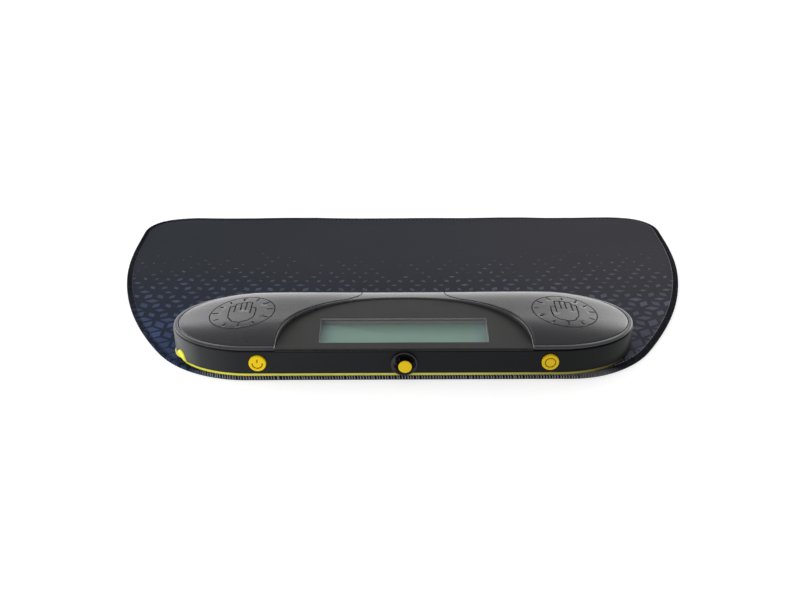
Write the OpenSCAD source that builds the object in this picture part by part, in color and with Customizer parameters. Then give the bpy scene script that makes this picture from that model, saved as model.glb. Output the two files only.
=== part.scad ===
// Speed puzzle timer with hand pads, standing on its own stitched mat.
// Right is +X, the user sits on the -Y side, up is +Z, and the floor is Z = 0.

/* [Timer housing] */
// Overall length of the housing
case_l = 300; // [290:1:310]
// Depth of the housing, front wall to back wall
case_d = 73; // [71:0.5:75]
// Half-length of the elliptical ends
end_a = 53; // [48:1:56]
// Wall thickness of the side wall
wall_t = 2.2; // [2:0.1:2.4]
// Height of the yellow base ring
ring_h = 1.9; // [1.9:0.05:2.1]
// Height of the top edge of the side wall above the floor
wall_top = 20.6; // [20.6:0.1:20.8]
// Rise of the hand pads above the ledge around them
pad_rise = 5.8; // [5.4:0.1:6]
// Rise of the middle band above the ledge
band_rise = 5.4; // [5:0.1:5.6]
// Width of the ledge round the pads
ledge_w = 3.6; // [3.4:0.1:3.8]

/* [Display] */
// Visible width of the display window
lcd_w = 106.4; // [104:0.2:108]
// Visible depth of the display window
lcd_d = 25.7; // [24:0.1:26]
// Slope of the display panel, rise per unit of depth
panel_slope = 0.10; // [0.09:0.005:0.11]

/* [Buttons] */
// Distance of the power and reset buttons from the middle
btn_x = 91.2; // [90:0.1:91.2]
// Height of the power and reset buttons above the floor
btn_z = 12.8; // [12.7:0.1:13]
// Radius of the power and reset buttons
btn_r = 5.45; // [5.2:0.05:5.45]
// Radius of the middle button
mode_r = 4.2; // [4:0.05:4.3]
// Press travel of the power and reset buttons
btn_travel = 0.8; // [0.5:0.1:0.8]
// Press travel of a hand pad
pad_travel = 1.0; // [0.6:0.1:1.0]

/* [Mat] */
// Thickness of the rubber backing
rubber_t = 1.6; // [1.4:0.1:1.6]
// Thickness of the printed cloth
cloth_t = 0.7; // [0.6:0.1:0.7]
// Half-length of the straight front edge
mat_front = 99; // [95:1:103]
// Radius of the front corners
mat_r1 = 78; // [76:1:80]
// Turn of the front corners in degrees
mat_a1 = 54; // [52:1:56]
// Radius of the bowed sides
mat_r2 = 285; // [280:1:290]
// Radius of the back corners
mat_r3 = 27; // [25:1:29]
// Turn of the back corners before they ease into the back edge, in degrees
mat_a3 = 72; // [70:1:74]
// Radius of the easing into the back edge
mat_r4 = 70; // [66:1:74]
// Front edge, measured from the front wall of the timer
mat_y0 = -0.8; // [-1.2:0.1:-0.6]
// Back edge, measured from the front wall of the timer
mat_y1 = 250; // [246:1:254]
// Width of the overlocked edge
stitch_w = 4.2; // [3.6:0.1:4.4]

/* [Hidden] */
$fn = 48;
e = 0.01;
mode_z = 11.5;
mode_front = -4.9;
// front-most and rear-most faces, so that the origin sits under the middle of the whole object
oy = (mode_front + mat_y1) / 2;
mat_t = rubber_t + cloth_t;
foot_t = 0.4;
zb = mat_t + foot_t;            // underside of the bottom plate
zr = zb + 0.05;                 // underside of the yellow ring
zw = zr + ring_h;               // bottom of the side wall
zl = wall_top + 2;              // top of the ledge round the pads
pl_z = wall_top + 1.5;          // display panel plane at the front wall
tilt = atan(panel_slope);
hl = case_l / 2;
hd = case_d / 2;
cx = hl - end_a;
pad_d = hd - ledge_w;           // half-depth of the pad field
arch_n = 2.4;                   // squareness of the display arch
arch_w = 81.4;
arch_h = 56.5;

// ---------- outlines ----------
// plan of the housing, inset by d: straight front and back, elliptical ends
function case_pts(d, n = 30) = concat(
  [for (i = [0:n]) let (t = -90 + 180 * i / n) [cx + (end_a - d) * cos(t), hd + (hd - d) * sin(t)]],
  [for (i = [0:n]) let (t = 90 + 180 * i / n) [-cx + (end_a - d) * cos(t), hd + (hd - d) * sin(t)]]);
// one point of the squarish arch over the display
function arch_pt(w, h, t) = [w * pow(max(0, cos(t)), 2 / arch_n), 1 + h * pow(max(0, sin(t)), 2 / arch_n)];
// plan of the display panel, inset by d, with its front edge at y0
function panel_pts(d, y0, n = 44) = concat([[80 - d, y0]],
  [for (i = [0:n]) let (t = 180 * i / n) t <= 90 ? arch_pt(80 - d, 54.1 - d, t)
    : let (q = arch_pt(80 - d, 54.1 - d, 180 - t)) [-q[0], q[1]]], [[-80 + d, y0]]);
// plan of the right hand pad, inset by d
function pad_pts(d, n = 20) = let (
    w = arch_w + d, h = arch_h + d, yf = ledge_w + d,
    t0 = asin(pow((yf - 1) / h, arch_n / 2)), t1 = 67)
  concat(
    [for (i = [0:n]) let (t = t1 + (t0 - t1) * i / n) arch_pt(w, h, t)],
    [for (i = [0:26]) let (t = -90 + 180 * i / 26) [cx + (end_a - ledge_w - d) * cos(t), hd + (pad_d - d) * sin(t)]],
    [[27.5 + d, case_d - yf], [28.5 + d, 60.5 + 0.4 * d], [31.5 + d, 57.4 + 0.8 * d]]);
// arc of radius r that starts at p with heading a and turns left by s degrees
function arc(p, a, r, s, n) = [for (i = [1:n]) let (b = a + s * i / n)
  [p[0] + r * (sin(b) - sin(a)), p[1] + r * (cos(a) - cos(b))]];
// plan of the mat, inset by d
function mat_half(d) = let (
    p0 = [mat_front, mat_y0 + d],
    s1 = arc(p0, 0, mat_r1 - d, mat_a1, 12),
    s2 = arc(s1[11], mat_a1, mat_r2 - d, 90 - mat_a1, 14),
    k1 = arc([0, 0], 90, mat_r3 - d, mat_a3, 12),
    k2 = arc(k1[11], 90 + mat_a3, mat_r4 - d, 90 - mat_a3, 6),
    q = [s2[13][0], mat_y1 - d - k2[5][1]])
  concat([p0], s1, s2, [q], [for (v = k1) q + v], [for (v = k2) q + v]);
function mat_pts(d) = let (h = mat_half(d), n = len(h))
  concat(h, [for (i = [n - 1:-1:0]) [-h[i][0], h[i][1]]]);

// ---------- heights ----------
// crown of the top across the depth: soft at the front, tight at the back
function crown(v) = v < 0 ? 1 - pow(min(1, -v), 3.2) : sqrt(max(0, 1 - pow(min(1, v), 8)));
function half_depth(x) = x <= cx ? pad_d : pad_d * sqrt(max(0, 1 - pow((x - cx) / (end_a - ledge_w), 2)));
// fall of the pads towards the ends
function fall(x) = x < 80 ? 0.93 + 0.07 * min(1, max(0, (x - 30) / 40)) : 1 - 0.00135 * pow(x - 80, 2) / 5.9;
function pad_z(x, y) = let (h = half_depth(x))
  zl + 0.2 + (h < 0.5 || abs(y - hd) >= h ? 0 : pad_rise * fall(x) * crown((y - hd) / h));
function band_z(y) = zl + 0.2 + band_rise * crown((y - hd) / pad_d);
function plane_z(y) = pl_z + panel_slope * y;

// ---------- helpers ----------
module at() translate([0, -oy, 0]) children();
module slab(z0, z1) translate([0, 0, z0]) linear_extrude(z1 - z0) children();
module ring2(a, b) difference() { polygon(case_pts(a)); polygon(case_pts(b)); }
module both() { children(); mirror([1, 0, 0]) children(); }
// extrude a profile drawn in (y, z) along x, from -w to w
module along_x(w) translate([-w, 0, 0]) rotate([90, 0, 90]) linear_extrude(2 * w) children();
// the tilted plane of the display panel: z = 0 is its surface, y runs up the slope
module on_panel() translate([0, 0, pl_z]) rotate([tilt, 0, 0]) children();
module cyl_y(x, y0, y1, z, r) translate([x, y0, z]) rotate([-90, 0, 0]) cylinder(h = y1 - y0, r = r);
module cyl_z(x, y, z0, z1, r) translate([x, y, z0]) cylinder(h = z1 - z0, r = r);
module box(x0, x1, y0, y1, z0, z1) translate([x0, y0, z0]) cube([x1 - x0, y1 - y0, z1 - z0]);
// coil spring along z, drawn as a swept round wire
module coil(x, y, z0, z1, r, wire, turns) {
  n = turns * 14;
  m = 6;
  pts = [for (i = [0:n]) let (a = 360 * turns * i / n, z = z0 + wire + (z1 - z0 - 2 * wire) * i / n)
    for (j = [0:m - 1]) let (b = 360 * j / m)
      [(r + wire * cos(b)) * cos(a), (r + wire * cos(b)) * sin(a), z + wire * sin(b)]];
  sides = [for (i = [0:n - 1]) for (j = [0:m - 1]) let (k = (j + 1) % m)
    [i * m + j, (i + 1) * m + j, (i + 1) * m + k, i * m + k]];
  tri = [for (f = sides) each [[f[0], f[1], f[2]], [f[0], f[2], f[3]]]];
  translate([x, y, 0]) polyhedron(pts, concat(tri,
    [[for (j = [0:m - 1]) j]], [[for (j = [m - 1:-1:0]) n * m + j]]), convexity = 8);
}

// ---------- positions shared by several pieces ----------
screw_xy = [[-72, 10], [72, 10], [-38, 45.4], [38, 45.4], [-138.5, 36.5], [138.5, 36.5]];
foot_xy = [[-116, 17], [116, 17], [-116, 56], [116, 56]];
snap_x = 107;
pad_post_xy = [[86.5, 24], [127.5, 24], [86.5, 52], [127.5, 52]];
peg_x = [92, 122];
peg_y = 38;
board_z = 16.5;
board_t = 1.6;
bat_z = 10.45;
bat_y = [50.15, 60.85];

// ---------- mat ----------
module mat_rubber_base() {
  color([0.08, 0.08, 0.085]) at() difference() {
    slab(0, rubber_t) polygon(mat_pts(0.6));
    both() {
      cyl_z(snap_x, hd, -1, 0.8, 6.05);
      cyl_z(snap_x, hd, -1, rubber_t + 1, 1.55);
    }
  }
}
module mat_cloth() {
  color([0.2, 0.21, 0.24]) at() difference() {
    slab(rubber_t, mat_t) polygon(mat_pts(0.6));
    both() cyl_z(snap_x, hd, 0, mat_t + 1, 7.05);
  }
}
module mat_edge_stitching() {
  color([0.05, 0.05, 0.055]) at() {
    difference() {
      slab(0.1, mat_t + 0.35) polygon(mat_pts(0));
      slab(0, mat_t) polygon(mat_pts(0.6));
      slab(mat_t - 1, mat_t + 1) polygon(mat_pts(stitch_w));
    }
  }
}
module mat_snap_studs() {
  color([0.75, 0.75, 0.77]) at() both() {
    cyl_z(snap_x, hd, rubber_t, mat_t + 0.1, 7);
    cyl_z(snap_x, hd, mat_t + 0.1, 6, 4);
    cyl_z(snap_x, hd, 0.8, rubber_t, 1.5);
  }
}
module mat_snap_washers() {
  color([0.7, 0.7, 0.72]) at() both() difference() {
    cyl_z(snap_x, hd, 0.1, 0.8, 6);
    cyl_z(snap_x, hd, 0, 0.4, 3);
  }
}

// ---------- housing ----------
module bottom_plate() {
  color([0.1, 0.1, 0.11]) at() difference() {
    union() {
      slab(zb, zw) polygon(case_pts(2.8));
      both() cyl_z(snap_x, hd, zw - e, 8, 6);
      both() for (p = pad_post_xy) cyl_z(p[0], p[1], zw - e, board_z, 2.6);
      cyl_z(0, 39.9, zw - e, 10, 2.7);
      // uprights behind the three switch boards
      for (x = [-btn_x, 0, btn_x]) box(x - 5, x + 5, 10.3, 11.8, zw - e, x == 0 ? 14.6 : 16);
    }
    both() cyl_z(snap_x, hd, 0, 9, 4.05);
    both() for (p = pad_post_xy) cyl_z(p[0], p[1], board_z - 7, board_z + 1, 0.95);
    for (p = foot_xy) cyl_z(p[0], p[1], zb - 1, zb + 0.8, 5.05);
    for (p = screw_xy) { cyl_z(p[0], p[1], zb - 1, zb + 3, 1.6); cyl_z(p[0], p[1], zb - 1, zb + 1.2, 3); }
    box(-23.7, 26, 45, 66, zb - 1, zb + 3);
    box(-5.3, 5.3, 36.3, 45.5, zb - 1, zb + 1.5);
    cyl_z(0, 39.9, zb, 9, 0.95);
  }
}
module rubber_feet() {
  color([0.06, 0.06, 0.06]) at() for (p = foot_xy) cyl_z(p[0], p[1], mat_t, zb + 0.8, 5);
}
module base_ring() {
  color([0.85, 0.8, 0.2]) at() slab(zr, zw) ring2(0.3, 2.75);
}
// the little yellow finger tab at the left end, a part of the ring's colour moulding
module lift_tab() {
  color([0.88, 0.83, 0.2]) at() {
    intersection() {
      union() {
        slab(zr, 12) difference() { polygon(case_pts(-0.9)); polygon(case_pts(-0.02)); }
        slab(zr, zw) difference() { polygon(case_pts(-0.9)); polygon(case_pts(0.3)); }
      }
      translate([-134.9, 25.5, zw]) rotate([0, 0, 220]) rotate([0, 90, 0]) cylinder(h = 25, r = 4.6);
    }
    slab(zr + 0.9, zw) intersection() {
      difference() { polygon(case_pts(-1.2)); polygon(case_pts(0.3)); }
      polygon([[-cx, hd], [-cx - 70, hd - 42], [-cx - 90, hd - 10]]);
    }
  }
}
module side_wall() {
  color([0.13, 0.135, 0.145]) at() difference() {
    union() {
      slab(zw, wall_top) ring2(0, wall_t);
      slab(zw, zw + 1.5) ring2(wall_t - e, 5.2);
      both() cyl_z(138.5, 36.5, zw, 14, 3.2);
      both() box(139, 148.2, 35.7, 37.3, zw, 14);
    }
    cyl_y(-btn_x, -1, 5, btn_z, btn_r + 0.05);
    cyl_y(btn_x, -1, 5, btn_z, btn_r + 0.05);
    cyl_y(0, -1, 5, mode_z, 5.7);
    both() cyl_z(138.5, 36.5, zw - 1, 12.5, 1.0);
  }
}
module cover_profile() polygon(concat([[0, wall_top + 0.9], [0, zl], [ledge_w, zl + 0.2]],
  [for (i = [1:23]) let (v = -1 + 2 * i / 24) [hd + pad_d * v, band_z(hd + pad_d * v)]],
  [for (v = [0.95, 0.975, 0.99, 1]) [hd + pad_d * v, band_z(hd + pad_d * v)]],
  [[case_d, zl], [case_d, wall_top + 0.9]]));
module cavity_profile() polygon(concat([[3.4, 0], [3.4, plane_z(3.4) - 3.3], [55, plane_z(55) - 3.3]],
  [for (y = [57.5, 60, 63, 65.5, 67.5]) [y, band_z(y) - 2]], [[69.4, wall_top], [69.4, 0]]));
module top_cover() {
  color([0.25, 0.25, 0.26]) at() difference() {
    union() {
      slab(wall_top + 0.9, zl) polygon(case_pts(0.4));
      slab(wall_top, wall_top + 0.9 + e) polygon(case_pts(1.2));
      slab(18.2, wall_top + e) ring2(wall_t + 0.15, 3.4);
      intersection() { slab(wall_top + 1, 40) polygon(case_pts(0.4)); along_x(81.5) cover_profile(); }
      for (i = [0:3]) let (p = screw_xy[i]) cyl_z(p[0], p[1], zw, plane_z(p[1]) - 1.5, 2.9);
      on_panel() for (x = [-60, 60]) for (y = [16, 38]) cyl_z(x, y, -9.9, -2.5, 2.3);
    }
    // openings for the two hand pads
    both() slab(0, 40) polygon(pad_pts(-0.35));
    // pocket for the display panel, open to the front
    on_panel() slab(-1.2, 20) polygon(panel_pts(-0.15, -2));
    on_panel() box(-55.6, 55.6, 4.6, 35.6, -8, 1);
    on_panel() for (x = [-60, 60]) for (y = [16, 38]) cyl_z(x, y, -11, -3.6, 0.95);
    // hollow underside, with the screw bosses left standing
    difference() {
      intersection() { slab(0, 40) polygon(case_pts(3.4)); along_x(84) cavity_profile(); }
      for (i = [0:3]) cyl_z(screw_xy[i][0], screw_xy[i][1], 0, 30, 2.9);
      on_panel() for (x = [-60, 60]) for (y = [16, 38]) cyl_z(x, y, -9.9, 0, 2.3);
    }
    for (i = [0:3]) cyl_z(screw_xy[i][0], screw_xy[i][1], 0, wall_top - 2.5, 1.0);
    // lip cut away at the three buttons
    for (x = [-btn_x, 0, btn_x]) box(x - 9, x + 9, 1, 6, 17, wall_top);
  }
}
module display_panel() {
  color([0.27, 0.255, 0.245]) at() on_panel() difference() {
    slab(-1.2, 0) polygon(panel_pts(0, 0.6));
    box(-lcd_w / 2, lcd_w / 2, 7.4, 7.4 + lcd_d, -3, 1);
  }
}
module display_window() {
  color([0.75, 0.8, 0.78, 0.5]) at() on_panel() {
    box(-lcd_w / 2 - 1.2, lcd_w / 2 + 1.2, 6.2, 8.6 + lcd_d, -2.2, -1.2);
    box(-lcd_w / 2 + 0.1, lcd_w / 2 - 0.1, 7.5, 7.3 + lcd_d, -1.2, -0.35);
  }
}
module lcd_glass() {
  color([0.49, 0.57, 0.54]) at() on_panel() box(-55, 55, 5.2, 35, -7.4, -4.9);
}
module lcd_frame() {
  color([0.1, 0.1, 0.1]) at() on_panel() {
    difference() {
      union() {
        box(-57, 57, 4.3, 37.4, -8.6, -3.8);
        box(-55.3, 55.3, 4.9, 35.3, -3.8, -2.25);
      }
      box(-55.1, 55.1, 5.1, 35.1, -9, -4.9);
      box(-lcd_w / 2 - 0.1, lcd_w / 2 + 0.1, 7.3, 7.5 + lcd_d, -9, -2);
      box(-3.8, 3.8, 4, 9, -9, -7.2);
    }
    for (x = [-57, 55.4]) for (y = [14, 30]) box(x, x + 1.6, y, y + 3, -9.9, -8.6);
  }
}
module zebra_strip() {
  color([0.55, 0.35, 0.4]) at() on_panel() box(-50, 50, 31.4, 33.8, -9.9, -7.4);
}
module main_board() {
  color([0.05, 0.3, 0.15]) at() on_panel() difference() {
    box(-62, 62, 13, 41, -11.5, -9.9);
    for (x = [-60, 60]) for (y = [16, 38]) cyl_z(x, y, -12, -9, 1.05);
  }
}
module controller_chip() {
  color([0.04, 0.04, 0.045]) at() on_panel() box(-7, 7, 18, 32, -12.7, -11.5);
}
module quartz_crystal() {
  color([0.8, 0.8, 0.82]) at() on_panel() {
    box(14, 22, 22, 26, -14.7, -11.5);
  }
}
module piezo_sounder() {
  color([0.12, 0.12, 0.12]) at() on_panel() difference() {
    cyl_z(-34, 26, -15.5, -11.5, 6);
    cyl_z(-34, 26, -16, -14.5, 1);
  }
}
module board_screws() {
  color([0.7, 0.7, 0.72]) at() on_panel() for (x = [-60, 60]) for (y = [16, 38]) {
    cyl_z(x, y, -12.5, -11.5, 1.9);
    cyl_z(x, y, -11.5, -4.2, 0.9);
  }
}
module switch_boards() {
  color([0.05, 0.3, 0.15]) at() {
    for (x = [-btn_x, btn_x]) box(x - 6, x + 6, 8.7, 10.3, 7.2, 17.6);
    box(-6, 6, 8.7, 10.3, 6.4, 15);
  }
}
module tact_switch(x, z) difference() {
  box(x - 3, x + 3, 5.2, 8.7, z - 3, z + 3);
  cyl_y(x, 5, 8.5, z, 1.75);
}
module power_switch() color([0.15, 0.15, 0.16]) at() tact_switch(-btn_x, btn_z);
module reset_switch() color([0.15, 0.15, 0.16]) at() tact_switch(btn_x, btn_z);
module mode_switch() color([0.15, 0.15, 0.16]) at() tact_switch(0, mode_z);
module mode_bezel() {
  color([0.03, 0.03, 0.035]) at() difference() {
    union() {
      cyl_y(0, -1.6, 0, mode_z, 8.4);
      cyl_y(0, 0, 3.2, mode_z, 5.65);
    }
    cyl_y(0, -3, 5, mode_z, mode_r + 0.05);
    translate([0, -1.7, mode_z]) rotate([-90, 0, 0]) cylinder(h = 1.9, r1 = 7.5, r2 = 4.6);
  }
}
module battery_box() {
  color([0.1, 0.1, 0.11]) at() difference() {
    box(-24.6, 26.9, 43.6, 67.4, zw, 17.4);
    box(-23.4, 25.7, 44.8, 66.2, 0, 16.2);
  }
}
module batteries() {
  color([0.2, 0.45, 0.25]) at() for (y = bat_y) translate([0, y, bat_z]) rotate([0, 90, 0]) {
    translate([0, 0, -21.9]) cylinder(h = 43.6, r = 5.2);
    translate([0, 0, -22.9]) cylinder(h = 1, r = 1.9);
  }
}
module battery_springs() {
  color([0.8, 0.8, 0.82]) at() for (y = bat_y) translate([0, y, bat_z]) rotate([0, 90, 0]) coil(0, 0, 21.75, 25.3, 2.8, 0.3, 3);
}
module battery_contacts() {
  color([0.8, 0.8, 0.82]) at() {
    box(25.3, 25.7, 45.5, 65.5, 6.2, 14.7);
    for (y = bat_y) box(-23.4, -22.95, y - 4, y + 4, 6.2, 14.7);
  }
}
module battery_door() {
  color([0.1, 0.1, 0.11]) at() difference() {
    union() { box(-23.4, 25.7, 45.3, 65.7, zb, zb + 1.85); box(-5, 5, 36.6, 45.4, zb, zb + 1.4); }
    cyl_z(0, 39.9, 0, 9, 1.3);
    cyl_z(0, 39.9, 0, zb + 0.7, 2.4);
    for (i = [0:4]) box(-6 + i * 3, -4.6 + i * 3, 57, 63, zb - 1, zb + 0.4);
  }
}
module battery_door_screw() {
  color([0.7, 0.7, 0.72]) at() difference() {
    union() { cyl_z(0, 39.9, zb + 0.1, zb + 0.7, 2.3); cyl_z(0, 39.9, zb + 0.7, 8.4, 0.9); }
    box(-1.4, 1.4, 39.65, 40.15, 0, zb + 0.35);
    box(-0.25, 0.25, 38.5, 41.3, 0, zb + 0.35);
  }
}
module case_screws() {
  color([0.7, 0.7, 0.72]) at() for (i = [0:5]) let (p = screw_xy[i], top = i < 4 ? 16 : 12) difference() {
    union() { cyl_z(p[0], p[1], zb + 0.2, zb + 1.2, 2.8); cyl_z(p[0], p[1], zb + 1.2, top, 0.95); }
    box(p[0] - 1.6, p[0] + 1.6, p[1] - 0.3, p[1] + 0.3, 0, zb + 0.6);
    box(p[0] - 0.3, p[0] + 0.3, p[1] - 1.6, p[1] + 1.6, 0, zb + 0.6);
  }
}

// ---------- hand pads ----------
pxs = [26, 36, 46, 56, 64, 71, 78, 86, 94, 102, 110, 118, 125, 131, 136, 140, 143.5, 148];
pys = [3, 5, 7.5, 11, 15.5, 21, 28, 36.5, 46, 54, 60, 63.5, 66, 67.8, 69, 70.5];
module pad_solid() {
  nx = len(pxs); ny = len(pys);
  top = [for (x = pxs) for (y = pys) [x, y, pad_z(x, y)]];
  bot = [[pxs[0], pys[0], 21], [pxs[nx - 1], pys[0], 21], [pxs[nx - 1], pys[ny - 1], 21], [pxs[0], pys[ny - 1], 21]];
  b = nx * ny;
  tri = [for (i = [0:nx - 2]) for (j = [0:ny - 2]) let (q = i * ny + j)
    each [[q, q + 1, q + ny + 1], [q, q + ny + 1, q + ny]]];
  intersection() {
    polyhedron(concat(top, bot), concat(tri, [[b, b + 1, b + 2, b + 3],
      concat([b + 1, b], [for (i = [0:nx - 1]) i * ny]),
      concat([b + 2, b + 1], [for (j = [0:ny - 1]) (nx - 1) * ny + j]),
      concat([b + 3, b + 2], [for (i = [nx - 1:-1:0]) i * ny + ny - 1]),
      concat([b, b + 3], [for (j = [ny - 1:-1:0]) j])]), convexity = 4);
    slab(20, 40) polygon(pad_pts(0));
  }
}
module pad() difference() {
  pad_solid();
  intersection() { slab(20, 24) polygon(pad_pts(6)); box(0, 120, 0, 80, 0, 40); }
  intersection() { slab(20, 22) polygon(pad_pts(3)); box(0, 140, 0, 80, 0, 40); }
}
// two guide pegs with heads below the board, and the rod that works the switch
module pad_guides() {
  for (x = peg_x) {
    cyl_z(x, peg_y, board_z - 0.1, x == 122 ? 22 : 24, 2);
    cyl_z(x, peg_y, board_z - 1.6, board_z - 0.1, 3);
  }
  cyl_z(snap_x, peg_y, 19.4, 24, 1.7);
}
module pad_board() difference() {
  box(83.5, 130.5, 19, 57, board_z, board_z + board_t);
  for (x = peg_x) cyl_z(x, peg_y, 0, 30, 2.05);
  for (p = pad_post_xy) cyl_z(p[0], p[1], 0, 30, 1.05);
}
module pad_switch() difference() {
  box(snap_x - 3, snap_x + 3, peg_y - 3, peg_y + 3, board_z + board_t, 21);
  cyl_z(snap_x, peg_y, 18.2, 30, 1.75);
}
module pad_springs() {
  coil(peg_x[0], peg_y, board_z + board_t, 24, 3, 0.3, 5);
  coil(peg_x[1], peg_y, board_z + board_t, 22, 3, 0.3, 4);
}
module right_pad() color([0.3, 0.3, 0.31]) at() pad();
module left_pad() color([0.3, 0.3, 0.31]) at() mirror([1, 0, 0]) pad();
module right_pad_guides() color([0.85, 0.85, 0.85]) at() pad_guides();
module left_pad_guides() color([0.85, 0.85, 0.85]) at() mirror([1, 0, 0]) pad_guides();
module right_pad_board() color([0.05, 0.3, 0.15]) at() pad_board();
module left_pad_board() color([0.05, 0.3, 0.15]) at() mirror([1, 0, 0]) pad_board();
module right_pad_switch() color([0.15, 0.15, 0.16]) at() pad_switch();
module left_pad_switch() color([0.15, 0.15, 0.16]) at() mirror([1, 0, 0]) pad_switch();
module right_pad_springs() color([0.8, 0.8, 0.82]) at() pad_springs();
module left_pad_springs() color([0.8, 0.8, 0.82]) at() mirror([1, 0, 0]) pad_springs();
module pad_board_screws() {
  color([0.7, 0.7, 0.72]) at() both() for (p = pad_post_xy) {
    cyl_z(p[0], p[1], board_z + board_t, board_z + board_t + 0.9, 1.9);
    cyl_z(p[0], p[1], board_z - 6, board_z + board_t, 0.9);
  }
}
module ribbon_cables() {
  color([0.8, 0.8, 0.75]) at() both() translate([0, 30, 0]) rotate([90, 0, 0]) linear_extrude(4)
    polygon([[58.5, 15.25], [63, 15.25], [70, 18.7], [79, 18.7], [83, 18.15], [86, 18.15],
             [86, 18.5], [83.2, 18.5], [79.2, 19.05], [69.8, 19.05], [62.8, 15.6], [58.5, 15.6]]);
}

// ---------- push buttons ----------
module round_button(x) difference() {
  union() {
    cyl_y(x, -1.2, wall_t + 0.1, btn_z, btn_r);
    translate([x, -1.7, btn_z]) rotate([-90, 0, 0]) cylinder(h = 0.5, r1 = btn_r - 0.5, r2 = btn_r);
    cyl_y(x, wall_t + 0.1, wall_t + 1.1, btn_z, btn_r + 0.7);
  }
}
module power_button() {
  color([0.95, 0.82, 0.12]) at() difference() {
    round_button(-btn_x);
    // engraved power sign: an open ring and a bar
    difference() {
      cyl_y(-btn_x, -2, -1.4, btn_z, 3.3);
      cyl_y(-btn_x, -3, 0, btn_z, 2.8);
      box(-btn_x - 2, -btn_x + 2, -3, 0, btn_z, btn_z + 5);
    }
    box(-btn_x - 0.3, -btn_x + 0.3, -2, -1.4, btn_z + 0.6, btn_z + 3);
  }
}
module reset_button() {
  color([0.95, 0.82, 0.12]) at() difference() {
    round_button(btn_x);
    difference() {
      cyl_y(btn_x, -2, -1.4, btn_z, 3.5);
      cyl_y(btn_x, -3, 0, btn_z, 2.9);
    }
  }
}
module mode_button() {
  color([0.95, 0.82, 0.1]) at() {
    cyl_y(0, mode_front + 0.4, 3.3, mode_z, mode_r);
    translate([0, mode_front, mode_z]) rotate([-90, 0, 0]) cylinder(h = 0.4, r1 = mode_r - 0.4, r2 = mode_r);
    cyl_y(0, 3.3, 4.1, mode_z, mode_r + 0.7);
  }
}
module power_plunger() color([0.85, 0.85, 0.85]) at() cyl_y(-btn_x, wall_t + 1.1, 7.2, btn_z, 1.7);
module reset_plunger() color([0.85, 0.85, 0.85]) at() cyl_y(btn_x, wall_t + 1.1, 7.2, btn_z, 1.7);
module mode_plunger() color([0.85, 0.85, 0.85]) at() cyl_y(0, 4.1, 7.2, mode_z, 1.7);

mat_rubber_base();
mat_cloth();
mat_edge_stitching();
mat_snap_studs();
mat_snap_washers();
bottom_plate();
rubber_feet();
base_ring();
lift_tab();
side_wall();
top_cover();
display_panel();
display_window();
lcd_glass();
lcd_frame();
zebra_strip();
main_board();
controller_chip();
quartz_crystal();
piezo_sounder();
board_screws();
switch_boards();
power_switch();
reset_switch();
mode_switch();
mode_bezel();
left_pad_board();
right_pad_board();
left_pad_switch();
right_pad_switch();
pad_board_screws();
ribbon_cables();
battery_box();
batteries();
battery_springs();
battery_contacts();
battery_door();
battery_door_screw();
case_screws();
left_pad();
left_pad_guides();
left_pad_springs();
right_pad();
right_pad_guides();
right_pad_springs();
power_button();
power_plunger();
reset_button();
reset_plunger();
mode_button();
mode_plunger();
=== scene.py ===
"""Looks of a speed puzzle timer on its mat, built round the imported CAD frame. All lengths below are in millimetres
in timer coordinates (y = 0 at the front wall), and place() turns them into metres in the part's own frame."""
import math

import bmesh
import bpy
import numpy as np
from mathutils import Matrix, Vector, geometry, kdtree


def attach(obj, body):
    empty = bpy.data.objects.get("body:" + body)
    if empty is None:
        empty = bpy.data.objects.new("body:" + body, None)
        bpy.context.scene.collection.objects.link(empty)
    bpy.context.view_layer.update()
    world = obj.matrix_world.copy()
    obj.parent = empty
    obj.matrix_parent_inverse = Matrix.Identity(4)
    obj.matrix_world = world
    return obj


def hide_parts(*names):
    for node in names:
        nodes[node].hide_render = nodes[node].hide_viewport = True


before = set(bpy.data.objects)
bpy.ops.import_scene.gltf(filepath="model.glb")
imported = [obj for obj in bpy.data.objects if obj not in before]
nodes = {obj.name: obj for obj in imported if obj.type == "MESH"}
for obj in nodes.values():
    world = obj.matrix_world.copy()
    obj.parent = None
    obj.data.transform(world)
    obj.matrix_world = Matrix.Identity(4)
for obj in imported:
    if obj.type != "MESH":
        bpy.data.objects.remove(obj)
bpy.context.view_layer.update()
rng = np.random.default_rng(7)

OY = 122.55          # the part frame's origin in timer coordinates
CX, HD = 97.0, 36.5  # centre of an end, half depth of the housing
END_A = 53.0
LEDGE_W = 3.6
WALL_TOP, ZL = 20.6, 22.6
ZR, ZW = 2.75, 4.65  # yellow ring
PL_Z, SLOPE = 22.1, 0.10
TILT = math.atan(SLOPE)
MAT_T = 2.3


# ------------------------------------------------------------------ helpers: places and outlines
def place(x, y, z):
    return (x * 0.001, (y - OY) * 0.001, z * 0.001)


def place_all(v):
    v = np.asarray(v, float)
    return np.column_stack([v[:, 0] * 0.001, (v[:, 1] - OY) * 0.001, v[:, 2] * 0.001])


def from_panel(v):
    """Panel coordinates (x, y up the slope, z out of the panel) to timer coordinates."""
    v = np.asarray(v, float)
    c, s = math.cos(TILT), math.sin(TILT)
    return np.column_stack([v[:, 0], v[:, 1] * c - v[:, 2] * s, PL_Z + v[:, 1] * s + v[:, 2] * c])


def line(a, b, step):
    """Points strictly between a and b, no further apart than step."""
    a, b = np.array(a, float), np.array(b, float)
    n = max(1, int(math.ceil(np.linalg.norm(b - a) / step)))
    return [tuple(a + (b - a) * i / n) for i in range(1, n)]


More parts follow.
